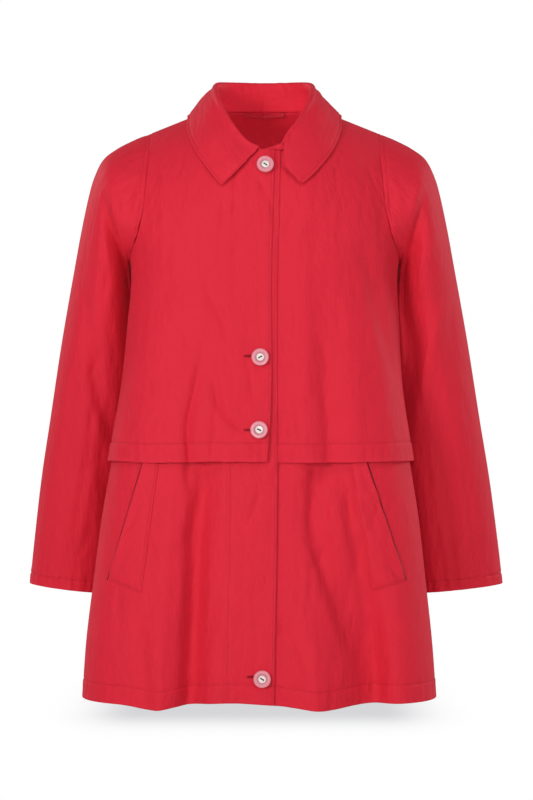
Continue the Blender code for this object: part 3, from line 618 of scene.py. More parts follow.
redCloth = clothMaterial("redCloth")
redThread, satinThread, darkThread = (
    threadMaterial(name + "Thread", finishes["thread"][name]) for name in ("red", "satin", "dark"))
pearl = pearlMaterial("pearlyButton")
# painted shade: a near-black red strip for the shaded inside of each buttonhole slit
slitShadeCloth = threadMaterial("paintedSlitShade", finishes["slitShadeColour"])
# painted shade: a dark red strip for the shaded inside of each pocket mouth
pocketShadeCloth = threadMaterial("paintedPocketShade", finishes["paintedPocketShade"])
print("finishes made")


# pieces: each cloth panel is a closed wall with a turned edge, its map in metres
def addObject(name, points, faces, material):
    mesh = bpy.data.meshes.new(name)
    mesh.from_pydata(points.tolist(), [], faces)
    mesh.update()
    mesh.shade_smooth()
    mesh.materials.append(material)
    made = bpy.data.objects.new(name, mesh)
    bpy.context.collection.objects.link(made)
    return made


def edgeLoops(rows, columns, closed):  # vertex numbers round the outside, the way that the outer faces run
    ids = np.arange(rows * columns).reshape(rows, columns)
    if closed:
        return [ids[0], ids[-1][::-1]]
    return [np.concatenate([ids[0, :-1], ids[:-1, -1], ids[-1, :0:-1], ids[:0:-1, 0]])]


def cellCorners(grid):
    return np.stack([grid[:-1, :-1], grid[:-1, 1:], grid[1:, 1:], grid[1:, :-1]], 2)


def clothWall(name, outer, inner, wear, closed=False):
    rows, columns = outer.shape[:2]
    count = rows * columns
    ids = np.arange(count).reshape(rows, columns)
    quads = cellCorners(closeLoop(ids) if closed else ids).reshape(-1, 4)
    mapGrid = closeLoop(outer) if closed else outer
    flatMap = np.stack([arcAcross(mapGrid), arcAlong(mapGrid)], -1)
    corners = cellCorners(flatMap).reshape(-1, 4, 2)
    vertexMap = flatMap[:, :columns].reshape(-1, 2)
    outerFlat, innerFlat = outer.reshape(-1, 3), inner.reshape(-1, 3)
    # the way out of the cloth at its edges, for a rounded turn
    away = np.zeros_like(outer)
    away[0] += outer[0] - outer[1]
    away[-1] += outer[-1] - outer[-2]
    if not closed:
        away[:, 0] += outer[:, 0] - outer[:, 1]
        away[:, -1] += outer[:, -1] - outer[:, -2]
    away = unit(away).reshape(-1, 3)
    thick = np.linalg.norm(outerFlat - innerFlat, axis=1, keepdims=True)
    points, faces, maps = [outerFlat, innerFlat], [quads, quads[:, ::-1] + count], [corners, corners[:, ::-1]]
    wears = [wear.reshape(-1), wear.reshape(-1)]
    base = 2 * count
    for loop in edgeLoops(rows, columns, closed):
        points.append((outerFlat[loop] + innerFlat[loop]) / 2 + away[loop] * thick[loop] * cloth["edgeTurn"])
        mid = base + np.arange(len(loop))
        after, midAfter = np.roll(loop, -1), np.roll(mid, -1)
        faces.append(np.stack([after, loop, mid, midAfter], -1))
        faces.append(np.stack([midAfter, mid, loop + count, after + count], -1))
        edgeMap = np.stack([vertexMap[after], vertexMap[loop], vertexMap[loop], vertexMap[after]], 1)
        maps += [edgeMap, edgeMap]
        wears.append(np.ones(len(loop)))
        base += len(loop)
    points, faces, maps = np.concatenate(points), np.concatenate(faces), np.concatenate(maps)
    a, b, c, d = (points[faces[:, k]] for k in range(4))
    volume = np.sum(a * np.cross(b, c)) + np.sum(a * np.cross(c, d))
    if volume < 0:
        faces, maps = faces[:, ::-1], maps[:, ::-1]
    made = addObject(name, points, faces.tolist(), redCloth)
    layer = made.data.uv_layers.new(name="weave")
    layer.data.foreach_set("uv", np.ascontiguousarray(maps).reshape(-1))
    spots = made.data.attributes.new("wear", "FLOAT", "POINT")
    spots.data.foreach_set("value", np.concatenate(wears).astype(np.float32))
    return made


# stitches: short raised threads along a line on the cloth
stitchLook = {"pitch": 0.0030, "length": 0.0023, "width": 0.00050, "height": 0.00022}
stitchForm = {"neck": 0.30, "reach": 0.0006, "points": 10}


def stitchShapes(centres, ways, ups, look):
    sideways = np.cross(ups, ways)
    half, neck = look["length"] / 2, look["length"] * stitchForm["neck"]
    wide, height = look["width"] / 2, look["height"]
    template = [(-half, 0, -height)]
    for at in (-neck, neck):
        template += [(at, wide, 0), (at, 0, height), (at, -wide, 0), (at, 0, -height)]
    template.append((half, 0, -height))
    template = np.array(template)
    points = centres[:, None] + template[None, :, :1] * ways[:, None]
    points = points + template[None, :, 1:2] * sideways[:, None] + template[None, :, 2:] * ups[:, None]
    shape = []
    for k in range(4):
        after = (k + 1) % 4
        shape += [(0, 1 + k, 1 + after), (1 + k, 5 + k, 5 + after, 1 + after), (5 + k, 9, 5 + after)]
    count = stitchForm["points"]
    faces = [tuple(spot * count + k for k in face) for spot in range(len(points)) for face in shape]
    return points.reshape(-1, 3), faces


def joinShapes(shapes):
    points, faces, base = [], [], 0
    for spots, corners in shapes:
        points.append(spots)
        faces += [tuple(base + k for k in face) for face in corners]
        base += len(spots)
    return np.concatenate(points), faces


def stitchAlong(line, ups, look):
    length = runLength(line)
    count = max(int(length[-1] / look["pitch"]), 1)
    at = (np.arange(count) + 0.5) * length[-1] / count
    reach = stitchForm["reach"]
    ways = unit(valuesAt(at + reach, length, line) - valuesAt(at - reach, length, line))
    normal = valuesAt(at, length, ups)
    normal = unit(normal - ways * np.sum(normal * ways, axis=1, keepdims=True))
    return stitchShapes(valuesAt(at, length, line), ways, normal, look)


def stitchPiece(name, lines, material=redThread, look=stitchLook):
    return addObject(name, *joinShapes([stitchAlong(line, ups, look) for line, ups in lines]), material)


def alongRow(grid, normals, distance, fromEnd=False):  # a line this far in from the first or last row
    if fromEnd:
        grid, normals = grid[::-1], normals[::-1]
    length = arcAlong(grid)
    found = []
    for table in (grid, normals):
        found.append(np.array([valuesAt(distance, length[:, j], table[:, j]) for j in range(grid.shape[1])]))
    return tuple(found)


def alongColumn(grid, normals, distance, fromEnd=False):  # a line this far in from the first or last column
    return alongRow(np.swapaxes(grid, 0, 1), np.swapaxes(normals, 0, 1), distance, fromEnd)


def cutLine(line, keep):
    return line[0][keep], line[1][keep]


def edgeWear(distance, reach=cloth["wearReach"]):
    return np.exp(-np.maximum(distance, 0) / reach)


hemLook = {"rise": 0.0003, "step": 0.002, "groove": 0.0007, "grooveWidth": 0.0017, "drawnStep": 0.006}
seamLook = {"deep": 0.0005, "width": 0.0014, "stitchWidth": 0.0013}


def hemRelief(away, along, cut, side=0):  # the step, stitched groove and puckers of a turned hem
    inside = cut["hemBand"] - away
    fold = hemLook["rise"] * ease(inside / hemLook["step"])
    fold = fold - hemLook["groove"] * bell(inside, hemLook["grooveWidth"])
    drawn = cut["ripple"] * bell(inside, cut["rippleWidth"])
    drawn = drawn + cut["drawn"] * ease(inside / hemLook["drawnStep"])
    return fold + waves(along, cut["hemWave"], side) * drawn


# back
backCut = {
    "flat": (0.66, 0.80), "area": 0.40, "hemBand": 0.023,
    "hemWave": (21, 0.006, 0.016, 7), "ripple": 0.00045, "rippleWidth": 0.008, "drawn": 0.00035,
}
grid = backPoints() + (0, cloth["seamGap"] / 2, 0)
normal = bodyNormals(grid, 1)
u, v = arcAcross(grid), arcAlong(grid)
seamAway = np.minimum(u, u[:, -1:] - u)
relief = hemRelief(v, u, backCut)
relief = relief - seamLook["deep"] * bell(seamAway, seamLook["width"])
outerBack = grid + normal * relief[..., None]
wear = np.maximum(edgeWear(v), edgeWear(seamAway, cloth["seamWear"]))
backPiece = clothWall("coatBack", outerBack, outerBack - normal * cloth["wall"], wear)
backStitches = stitchPiece("stitchesBack", [alongRow(outerBack, normal, backCut["hemBand"])])
tellSize("back", outerBack, u, v)


# fronts and the flaps over them
frontCut = {
    "flat": (0.36, 0.72), "area": 0.20, "hemBand": 0.023,
    "hemWave": (31, 0.006, 0.017, 7), "ripple": 0.00045, "rippleWidth": 0.008, "drawn": 0.0004,
    "edgeStitch": 0.0030, "stitchTop": 0.012, "underFull": 0.020, "underNone": 0.055, "belowReach": 0.02,
    "edgeWave": (41, 0.008, 0.022, 6), "edgePucker": 0.00020, "edgePuckerAt": 0.004, "edgePuckerWidth": 0.006,
    "flyStitch": 0.0590, "flyTop": 0.01, "flyDeep": 0.0008, "flyWidth": 0.0018,
    "flyWave": (45, 0.007, 0.020, 6), "flyPucker": 0.00022, "flyPuckerWidth": 0.007,
}
flapCut = {
    "flat": (0.36, 0.42), "area": 0.105, "hemBand": 0.024,
    "hemWave": (51, 0.006, 0.018, 7), "ripple": 0.00040, "rippleWidth": 0.008, "drawn": 0.0004,
    "edgeStitch": 0.0030, "hang": 0.0034, "hangStartZ": -0.24, "hangFullZ": -0.44, "slideColumns": 16,
}


def underRight(grid):  # 1 where the left front lies under the right one
    return ease((frontCut["underNone"] - grid[..., 0]) / (frontCut["underNone"] - frontCut["underFull"]))


def cutToFlap(side, grid):
    # slide the first columns along their rows, on to the flap's own edge
    flap, first, rows = grid.copy(), flapCut["slideColumns"], np.arange(len(grid))
    edgeX = -side * frontEdge("flap", grid[:, 0, 2])
    numbers = np.arange(first + 1)
    starts = side * grid[:, :first + 1, 0]
    edgeAt = np.array([np.interp(side * e, start, numbers) for e, start in zip(edgeX, starts)])
    for j in range(first):
        at = edgeAt + (first - edgeAt) * j / first
        low = at.astype(int)
        flap[:, j] = grid[rows, low] + (at - low)[:, None] * (grid[rows, low + 1] - grid[rows, low])
    return flap


def edgeLine(outer, normal, away, topZ):  # down the front edge from this height
    line = alongColumn(outer, normal, away)
    return cutLine(line, line[0][:, 2] < topZ)


panels, armholeFronts = {}, {}
layer = cloth["wall"] + cloth["layerGap"]
stitchTopZ = frontNeckZ - frontCut["stitchTop"]
for side, word in sides:
    name = word.capitalize()
    grid = frontPoints(side, frontCreases) - (0, cloth["seamGap"] / 2, 0)
    normal = bodyNormals(grid, -1)
    step = -2 * layer * underRight(grid) * (side > 0)
    u, v = arcAcross(grid), arcAlong(grid)
    seamAway = u[:, -1:] - u
    below = ease((flapHemZ - grid[..., 2]) / frontCut["belowReach"])
    relief = hemRelief(v, u, frontCut, side)
    relief = relief - seamLook["deep"] * bell(seamAway, seamLook["width"]) * below
    relief = relief - seamLook["deep"] * bell(u - frontCut["edgeStitch"], seamLook["stitchWidth"])
    pucker = frontCut["edgePucker"] * waves(v, frontCut["edgeWave"], side)
    relief = relief + pucker * bell(u - frontCut["edgePuckerAt"], frontCut["edgePuckerWidth"]) * below
    if side < 0:
        flyAway = u - frontCut["flyStitch"]
        pucker = frontCut["flyPucker"] * waves(v, frontCut["flyWave"])
        relief = relief - frontCut["flyDeep"] * below * bell(flyAway, frontCut["flyWidth"])
        relief = relief + pucker * below * bell(flyAway, frontCut["flyPuckerWidth"])
    outer = grid + normal * (step + relief)[..., None]
    wear = np.maximum(np.maximum(edgeWear(v), edgeWear(u)), edgeWear(seamAway, cloth["seamWear"]))
    front = clothWall("front" + name, outer, outer - normal * cloth["wall"], wear)
    lines = [alongRow(outer, normal, frontCut["hemBand"])]
    lines.append(edgeLine(outer, normal, frontCut["edgeStitch"], stitchTopZ))
    if side < 0:
        lines.append(edgeLine(outer, normal, frontCut["flyStitch"], flapHemZ + frontCut["flyTop"]))
    panels["front" + word] = (front, stitchPiece("stitchesFront" + name, lines))
    tellSize("front " + word, outer, u, v)

    # the flap, on the same form with its own creases, hung clear of the skirt
    grid = frontPoints(side, flapCreases)[skirtRowCount:] - (0, cloth["seamGap"] / 2, 0)
    normal = bodyNormals(grid, -1)
    under = underRight(grid) * (side > 0)
    hangSpan = flapCut["hangStartZ"] - flapCut["hangFullZ"]
    hang = flapCut["hang"] * ease((flapCut["hangStartZ"] - grid[..., 2]) / hangSpan)
    u, v = arcAcross(grid), arcAlong(grid)
    rise = -2 * layer * under + layer + hang * (1 - under)
    rise = rise + hemRelief(v, u, flapCut, side)
    outer = cutToFlap(side, grid + normal * rise[..., None])
    inner = cutToFlap(side, grid + normal * (rise - cloth["wall"])[..., None])
    edgeAway = arcAcross(outer)
    groove = seamLook["deep"] * bell(edgeAway - flapCut["edgeStitch"], seamLook["stitchWidth"])
    outer = outer - normal * groove[..., None]
    flap = clothWall("flap" + name, outer, inner, np.maximum(edgeWear(v), edgeWear(edgeAway)))
    lines = [alongRow(outer, normal, flapCut["hemBand"])]
    lines.append(edgeLine(outer, normal, flapCut["edgeStitch"], stitchTopZ))
    panels["flap" + word] = (flap, stitchPiece("stitchesFlap" + name, lines))
    armholeFronts[side] = outer[flapRowCount:, -1]
    tellSize("flap " + word, outer, edgeAway, v)


# sleeves: rings from the armhole to the cuff
sleeveCut = {
    "flat": (0.44, 0.62), "area": 0.20, "hemBand": 0.0135,
    "hemWave": (71, 0.006, 0.015, 7), "ripple": 0.0006, "rippleWidth": 0.007, "drawn": 0.0003,
    "rows": 160, "cuffRows": 26, "cuffShare": 0.72, "headRings": 34, "aimX": 0.24, "aimZ": -0.11,
    "topStitch": 0.0065, "topStitchWidth": 0.0015, "seamWidth": 0.0022, "foldReach": 1.7, "middleX": 0.23,
    "headWave": (75, 0.008, 0.020, 6), "headPucker": 0.00028, "headPuckerAt": 0.004, "headPuckerWidth": 0.006,
    "puckerRound": 0.3, "headWear": 0.4,
}
sleeveTable = makeTable("outerX outerZ innerX innerZ frontY backY sway", [
    (0.1455, -0.0267, 0.1724, -0.1940, -0.066, 0.070, 0.0000),
    (0.1690, -0.0358, 0.1742, -0.1968, -0.072, 0.073, 0.0000),
    (0.1915, -0.0472, 0.1744, -0.1995, -0.076, 0.076, 0.0000),
    (0.2092, -0.0612, 0.1740, -0.2030, -0.077, 0.078, 0.0000),
    (0.2208, -0.0835, 0.1732, -0.2075, -0.076, 0.080, 0.0000),
    (0.2284, -0.1090, 0.1720, -0.2135, -0.073, 0.081, 0.0000),
    (0.2378, -0.1520, 0.1706, -0.2250, -0.068, 0.082, 0.0000),
    (0.2464, -0.1970, 0.1682, -0.2440, -0.061, 0.083, 0.0000),
    (0.2646, -0.2950, 0.1672, -0.3200, -0.044, 0.087, 0.0002),
    (0.2816, -0.3990, 0.1740, -0.4150, -0.026, 0.092, 0.0006),
    (0.2944, -0.4770, 0.1832, -0.4910, -0.014, 0.095, 0.0012),
    (0.3056, -0.5640, 0.1945, -0.5770, -0.004, 0.097, 0.0020),
    (0.3110, -0.6136, 0.2010, -0.6262, 0.000, 0.098, 0.0023),
])
sleeveCreases = {
    -1: {
        "ridge": {"right": 0.0060, "left": 0.0070, "path": [
            (-0.2008, -0.0875, 0.0000), (-0.1931, -0.1130, 0.0025), (-0.1829, -0.1462, 0.0045),
            (-0.1740, -0.1800, 0.0040), (-0.1714, -0.2000, 0.0000)]},
        "drag": {"right": 0.0100, "left": 0.0042, "path": [
            (-0.2040, -0.1050, 0.0000), (-0.1990, -0.1372, -0.0080), (-0.1895, -0.1691, -0.0160),
            (-0.1810, -0.1971, -0.0210), (-0.1755, -0.2328, -0.0180), (-0.1735, -0.2750, -0.0080),
            (-0.1740, -0.3100, 0.0000)]},
        "cap": {"right": 0.0055, "left": 0.0055, "path": [
            (-0.1580, -0.0780, 0.0000), (-0.1638, -0.0990, -0.0030), (-0.1689, -0.1245, -0.0050),
            (-0.1705, -0.1500, -0.0030), (-0.1705, -0.1650, 0.0000)]},
        "band": {"right": 0.0090, "left": 0.0130, "path": [
            (-0.2217, -0.267, 0.0000), (-0.2230, -0.302, -0.0035), (-0.2191, -0.337, -0.0060),
            (-0.2101, -0.380, -0.0075), (-0.1971, -0.418, -0.0070), (-0.1907, -0.448, 0.0000)]},
        "low": {"right": 0.0090, "left": 0.0120, "path": [
            (-0.2126, -0.420, 0.0000), (-0.2088, -0.451, -0.0035), (-0.2062, -0.496, -0.0055),
            (-0.2075, -0.541, -0.0030), (-0.2101, -0.588, 0.0000)]},
        "upper": {"right": 0.0102, "left": 0.0102, "path": [
            (-0.2307, -0.153, 0.0000), (-0.2333, -0.205, -0.0026), (-0.2282, -0.270, -0.0022),
            (-0.2204, -0.308, 0.0000)]},
        "outer": {"right": 0.0090, "left": 0.0110, "path": [
            (-0.2420, -0.300, 0.0000), (-0.2480, -0.370, -0.0024), (-0.2560, -0.460, -0.0028),
            (-0.2630, -0.560, 0.0000)]},
    },
    1: {
        "ridge": {"right": 0.0070, "left": 0.0055, "path": [
            (0.1996, -0.0900, 0.0000), (0.1881, -0.1245, 0.0030), (0.1779, -0.1627, 0.0045),
            (0.1715, -0.1850, 0.0040), (0.1690, -0.2050, 0.0000)]},
        "drag": {"right": 0.0045, "left": 0.0130, "path": [
            (0.2060, -0.1000, 0.0000), (0.1975, -0.1372, -0.0075), (0.1885, -0.1691, -0.0140),
            (0.1815, -0.2010, -0.0185), (0.1800, -0.2456, -0.0150), (0.1830, -0.2966, -0.0070),
            (0.1840, -0.3250, 0.0000)]},
        "cap": {"right": 0.0055, "left": 0.0055, "path": [
            (0.1640, -0.0880, 0.0000), (0.1677, -0.1054, -0.0028), (0.1690, -0.1245, -0.0042),
            (0.1660, -0.1563, -0.0025), (0.1650, -0.1700, 0.0000)]},
        "hollow": {"right": 0.0114, "left": 0.0127, "path": [
            (0.1946, -0.221, 0.0000), (0.1972, -0.257, -0.0045), (0.1920, -0.308, -0.0075),
            (0.1842, -0.354, -0.0075), (0.1816, -0.399, -0.0050), (0.1829, -0.444, 0.0000)]},
        "bound": {"right": 0.0064, "left": 0.0090, "path": [
            (0.2295, -0.239, 0.0000), (0.2269, -0.263, 0.0020), (0.2101, -0.315, 0.0036),
            (0.2010, -0.363, 0.0028), (0.1959, -0.404, 0.0000)]},
        "outer": {"right": 0.0127, "left": 0.0102, "path": [
            (0.2347, -0.179, 0.0000), (0.2385, -0.244, -0.0028), (0.2424, -0.321, -0.0024),
            (0.2463, -0.386, 0.0000)]},
        "low": {"right": 0.0100, "left": 0.0120, "path": [
            (0.2280, -0.400, 0.0000), (0.2330, -0.460, -0.0030), (0.2400, -0.520, -0.0036),
            (0.2470, -0.590, 0.0000)]},
    },
}
sleeveBackCreases = {  # drawn on the outer half of x, the same on both sleeves
    "elbow": {"right": 0.0080, "left": 0.0120, "path": [
        (0.2000, -0.240, 0.0000), (0.2120, -0.290, -0.0040), (0.2280, -0.330, -0.0050),
        (0.2420, -0.365, 0.0000)]},
    "under": {"right": 0.0090, "left": 0.0110, "path": [
        (0.2020, -0.330, 0.0000), (0.2150, -0.380, -0.0040), (0.2320, -0.430, -0.0040),
        (0.2480, -0.475, 0.0000)]},
    "cap": {"right": 0.0100, "left": 0.0080, "path": [
        (0.1950, -0.080, 0.0000), (0.1900, -0.120, -0.0030), (0.1820, -0.170, -0.0070),
        (0.1780, -0.230, 0.0000)]},
}
sleeveCrinkles = {
    "seed": 77, "count": 110, "halfX": 0.09, "lowZ": -0.62, "highZ": -0.05,
    "length": (0.010, 0.036), "width": (0.0026, 0.0066), "depth": (-0.0018, 0.0011),
}
sleeveLumps = [  # height, seed, shortest and longest wave, count, lean and stretch
    (0.0007, 61, 0.04, 0.14, 9, 0, 1), (0.00022, 64, 0.014, 0.04, 12, 0, 1),
    (0.0006, 67, 0.014, 0.040, 10, 0.17, 0.14),
]


def sleeveRings(side, firstRing):
    turn = np.linspace(0, 2 * math.pi, 2 * bodyForm["chestRows"], endpoint=False)
    across = (1 + np.cos(turn)) / 2
    front, back = np.clip(np.sin(turn), 0, 1), np.clip(-np.sin(turn), 0, 1)
    knots = np.arange(len(sleeveTable["outerX"]))
    cuffStart, cuffRows = knots[-1] - sleeveCut["cuffShare"], sleeveCut["cuffRows"]
    # closer rings near the cuff
    places = [np.linspace(0, cuffStart, sleeveCut["rows"] - cuffRows),
              np.linspace(cuffStart, knots[-1], cuffRows + 1)[1:]]
    rings = []
    for place in np.concatenate(places):
        ring = {name: smoothAt(place, knots, values) for name, values in sleeveTable.items()}
        innerX = ring["innerX"] + side * torsoSize("lean", ring["innerZ"])
        outerX = ring["outerX"] + side * ring["sway"]
        x = side * (innerX + (outerX - innerX) * across)
        z = ring["innerZ"] + (ring["outerZ"] - ring["innerZ"]) * across
        middle, half = (ring["frontY"] + ring["backY"]) / 2, (ring["backY"] - ring["frontY"]) / 2
        lumps = lumpsAt(x, z, sleeveLumps, side)
        lumps = lumps + crinkles(x - side * sleeveCut["middleX"], z, sleeveCrinkles, side)
        frontFold = creaseReach(sleeveCreases[side], x, z) * np.clip(sleeveCut["foldReach"] * front, 0, 1)
        backFold = creaseReach(sleeveBackCreases, np.abs(x), z) + lumps
        y = middle - half * np.sin(turn) - frontFold - lumps * front + backFold * back
        rings.append(np.stack([x, y, z], -1))
    rings = np.array(rings)
    # the first rings pass from the armhole's line to the sleeve's own round
    near = 1 - ease(np.arange(len(rings)) / sleeveCut["headRings"])
    return rings + near[:, None, None] * (firstRing - rings[0])


for side, word in sides:
    name = word.capitalize()
    edge = outerBack[skirtRowCount + flapRowCount:, 0 if side < 0 else -1]
    ring = np.concatenate([armholeFronts[side][::-1], evenly(edge[1:], len(edge) - 2)])
    aim = np.array([side * sleeveCut["aimX"], 0, sleeveCut["aimZ"]])
    ring = ring + unit(aim - ring) * cloth["armholeGap"]
    grid = sleeveRings(side, ring)
    normal = gridNormals(grid, closed=True)
    normal *= np.sign(np.sum(normal * (grid - grid.mean(axis=1, keepdims=True))))
    v = arcAlong(grid)
    fromCuff = v[-1:] - v
    around = np.linspace(0, sleeveCut["puckerRound"], grid.shape[1], endpoint=False)[None, :] + 0 * v
    relief = hemRelief(fromCuff, around, sleeveCut, side)
    relief = relief - seamLook["deep"] * bell(v, sleeveCut["seamWidth"])
    relief = relief - seamLook["deep"] * bell(v - sleeveCut["topStitch"], sleeveCut["topStitchWidth"])
    pucker = sleeveCut["headPucker"] * waves(around, sleeveCut["headWave"], side)
    relief = relief + pucker * bell(v - sleeveCut["headPuckerAt"], sleeveCut["headPuckerWidth"])
    outer = grid + normal * relief[..., None]
    wear = np.maximum(edgeWear(fromCuff), sleeveCut["headWear"] * edgeWear(v))
    sleeve = clothWall("sleeve" + name, outer, outer - normal * cloth["wall"], wear, closed=True)
    tube, tubeNormal = closeLoop(outer), closeLoop(normal)
    lines = [alongRow(tube, tubeNormal, sleeveCut["hemBand"], fromEnd=True)]
    lines.append(alongRow(tube, tubeNormal, sleeveCut["topStitch"]))
    panels["sleeve" + word] = (sleeve, stitchPiece("stitchesSleeve" + name, lines))
    tellSize("sleeve " + word, tube, arcAcross(tube), v)


# collar: sections from its right front end round the back to its left front end
collarCut = {
    "flat": (0.64, 0.13), "area": 0.055, "stations": 230, "points": 48, "edgeStitch": 0.0034,
    "gap": 0.0002, "frontLean": 0.38, "backLean": -1.04, "tipRound": 0.0052,
    "runPoints": 30, "arcPoints": 9, "edgePoints": 6, "edgeReach": 0.006,
    "endStations": 12, "endReach": 0.25, "endPower": 1.6,
    "leafStart": 0.52, "leafFrom": 0.45, "leafBlend": 0.1,
    "groove": 0.0007, "grooveWidth": 0.0015,
    "edgeWave": (81, 0.009, 0.024, 6), "pucker": 0.0002, "puckerAt": 0.004, "puckerWidth": 0.007,
    "backHalf": 0.030, "backBlend": 0.008, "backY": 0.02,
    "foldGroove": 0.0006, "foldAt": 0.0075, "foldWidth": 0.0014,
    "foldWave": (87, 0.008, 0.026, 6), "foldPucker": 0.0007, "foldPuckerAt": 0.0085, "foldPuckerWidth": 0.007,
    "lumpWave": (83, 0.03, 0.10, 9), "lumps": 0.0006, "lumpsFrom": 0.02,
}
collarTable = makeTable("turn foldX foldY foldZ halfX halfY halfZ edgeX edgeY edgeZ radius", [
    (84.4, -0.0078, -0.1070, -0.0536, -0.0300, -0.1160, -0.0795, -0.0535, -0.1182, -0.1035, 0.0010),
    (67.1, -0.0255, -0.1000, -0.0425, -0.0470, -0.1085, -0.0630, -0.0695, -0.1085, -0.0840, 0.0022),
    (44.9, -0.0450, -0.0835, -0.0160, -0.0665, -0.0895, -0.0365, -0.0880, -0.0860, -0.0555, 0.0026),
    (23.6, -0.0590, -0.0560, 0.0130, -0.0785, -0.0600, -0.0100, -0.0975, -0.0585, -0.0300, 0.0028),
    (10.0, -0.0632, -0.0260, 0.0285, -0.0815, -0.0280, 0.0080, -0.0990, -0.0270, -0.0105, 0.0028),
    (0.0, -0.0645, 0.0030, 0.0355, -0.0825, 0.0040, 0.0170, -0.0988, 0.0050, -0.0035, 0.0028),
    (-20.0, -0.0610, 0.0230, 0.0415, -0.0780, 0.0300, 0.0190, -0.0935, 0.0370, -0.0085, 0.0028),
    (-43.8, -0.0500, 0.0400, 0.0437, -0.0640, 0.0520, 0.0200, -0.0770, 0.0590, -0.0130, 0.0028),
    (-67.0, -0.0270, 0.0550, 0.0448, -0.0340, 0.0710, 0.0195, -0.0400, 0.0775, -0.0155, 0.0028),
    (-90.0, 0.0000, 0.0620, 0.0450, 0.0000, 0.0790, 0.0190, 0.0000, 0.0895, -0.0165, 0.0028),
    (-113.0, 0.0270, 0.0550, 0.0448, 0.0340, 0.0710, 0.0195, 0.0400, 0.0775, -0.0155, 0.0028),
    (-136.2, 0.0500, 0.0400, 0.0437, 0.0640, 0.0520, 0.0200, 0.0770, 0.0590, -0.0130, 0.0028),
    (-160.0, 0.0602, 0.0230, 0.0408, 0.0765, 0.0300, 0.0190, 0.0935, 0.0370, -0.0085, 0.0028),
    (-180.0, 0.0628, 0.0030, 0.0350, 0.0795, 0.0040, 0.0170, 0.0988, 0.0050, -0.0035, 0.0028),
    (-190.0, 0.0622, -0.0260, 0.0280, 0.0800, -0.0280, 0.0080, 0.0990, -0.0270, -0.0105, 0.0028),
    (-203.6, 0.0590, -0.0560, 0.0130, 0.0785, -0.0600, -0.0100, 0.0970, -0.0585, -0.0300, 0.0028),
    (-224.9, 0.0450, -0.0830, -0.0145, 0.0650, -0.0900, -0.0370, 0.0860, -0.0870, -0.0565, 0.0026),
    (-241.8, 0.0300, -0.0955, -0.0350, 0.0430, -0.1070, -0.0620, 0.0655, -0.1090, -0.0835, 0.0022),
    (-251.8, 0.0235, -0.1015, -0.0470, 0.0245, -0.1145, -0.0790, 0.0468, -0.1187, -0.1017, 0.0010),
])


def neckSeam(turn):
    x = -neckHalf * math.cos(turn)
    front, back = max(math.sin(turn), 0), max(-math.sin(turn), 0)
    z = neckPointZ - (neckPointZ - frontNeckZ) * front
    if front == 0:
        z = backNeckZ + (neckPointZ - backNeckZ) * math.cos(turn) ** 2
    lean = collarCut["frontLean"] * front + collarCut["backLean"] * back
    up = np.array([math.cos(turn), lean, front + back])
    y = float(bodyDepth(np.array(x), np.array(z), -1 if front > 0 else 1, {}))
    return np.array([x, y, z]) + unit(up) * (cloth["collarWall"] / 2 + collarCut["gap"])


def collarSection(at, cut=0):
    row = {name: smoothAt(at, np.arange(len(values)), values) for name, values in collarTable.items()}
    fold, half, edge = (np.array([row[part + axis] for axis in "XYZ"]) for part in ("fold", "half", "edge"))
    outward = unit((edge - fold) * (1, 1, 0)) * row["radius"]
    under = np.array([0, 0, row["radius"]])
    seam = neckSeam(math.radians(row["turn"]))
    arc = np.linspace(0, math.pi, collarCut["arcPoints"])
    line = [seam, seam * 0.5 + (fold - outward - under) * 0.5]
    line += [fold - outward * math.cos(a) - under * (1 - math.sin(a)) for a in arc]
    line += [(fold + outward - under + half) / 2]
    line += [half + (edge - half) * t for t in np.linspace(0, 1, 4)]
    line = np.array(line)
    length = runLength(line)
    # closer points over the fold and at the edge
    end = length[-1] - cut
    overFold = np.linspace(length[2], length[1 + len(arc)], len(arc))
    nearEdge = end - np.linspace(0, collarCut["edgeReach"], collarCut["edgePoints"])
    at = np.unique(np.concatenate([np.linspace(0, end, collarCut["runPoints"]), overFold, nearEdge]))
    at = np.interp(np.linspace(0, 1, collarCut["points"]), np.linspace(0, 1, len(at)), at)
    return np.stack([smoothAt(at, length, line[:, k]) for k in range(3)], -1)


lastRow = len(collarTable["turn"]) - 1
nearEnd = collarCut["endReach"] * np.linspace(0, 1, collarCut["endStations"] + 1)[1:] ** collarCut["endPower"]
stations = np.linspace(nearEnd[-1], lastRow - nearEnd[-1], collarCut["stations"] + 1)
stations = np.concatenate([[0], nearEnd[:-1], stations, lastRow - nearEnd[-2::-1], [lastRow]])
endReach = runLength(np.array([collarSection(at)[-1] for at in stations]))
endReach = np.minimum(endReach, endReach[-1] - endReach)
missing = np.clip(collarCut["tipRound"] - endReach, 0, None)  # round off the two tips
tipCuts = collarCut["tipRound"] - np.sqrt(collarCut["tipRound"] ** 2 - missing**2)
grid = np.array([collarSection(at, cut) for at, cut in zip(stations, tipCuts)])
normal = gridNormals(grid)
normal *= np.sign(normal[len(grid) // 2, -8, 1])
u, v = arcAcross(grid), arcAlong(grid)
edgeAway = u[:, -1:] - u
nearEdge = np.minimum(edgeAway, np.minimum(v, v[-1:] - v))
onLeaf = ease((u / u[:, -1:] - collarCut["leafFrom"]) / collarCut["leafBlend"])
relief = -collarCut["groove"] * bell(nearEdge - collarCut["edgeStitch"], collarCut["grooveWidth"]) * onLeaf
pucker = collarCut["pucker"] * waves(v, collarCut["edgeWave"])
relief = relief + pucker * bell(edgeAway - collarCut["puckerAt"], collarCut["puckerWidth"]) * onLeaf
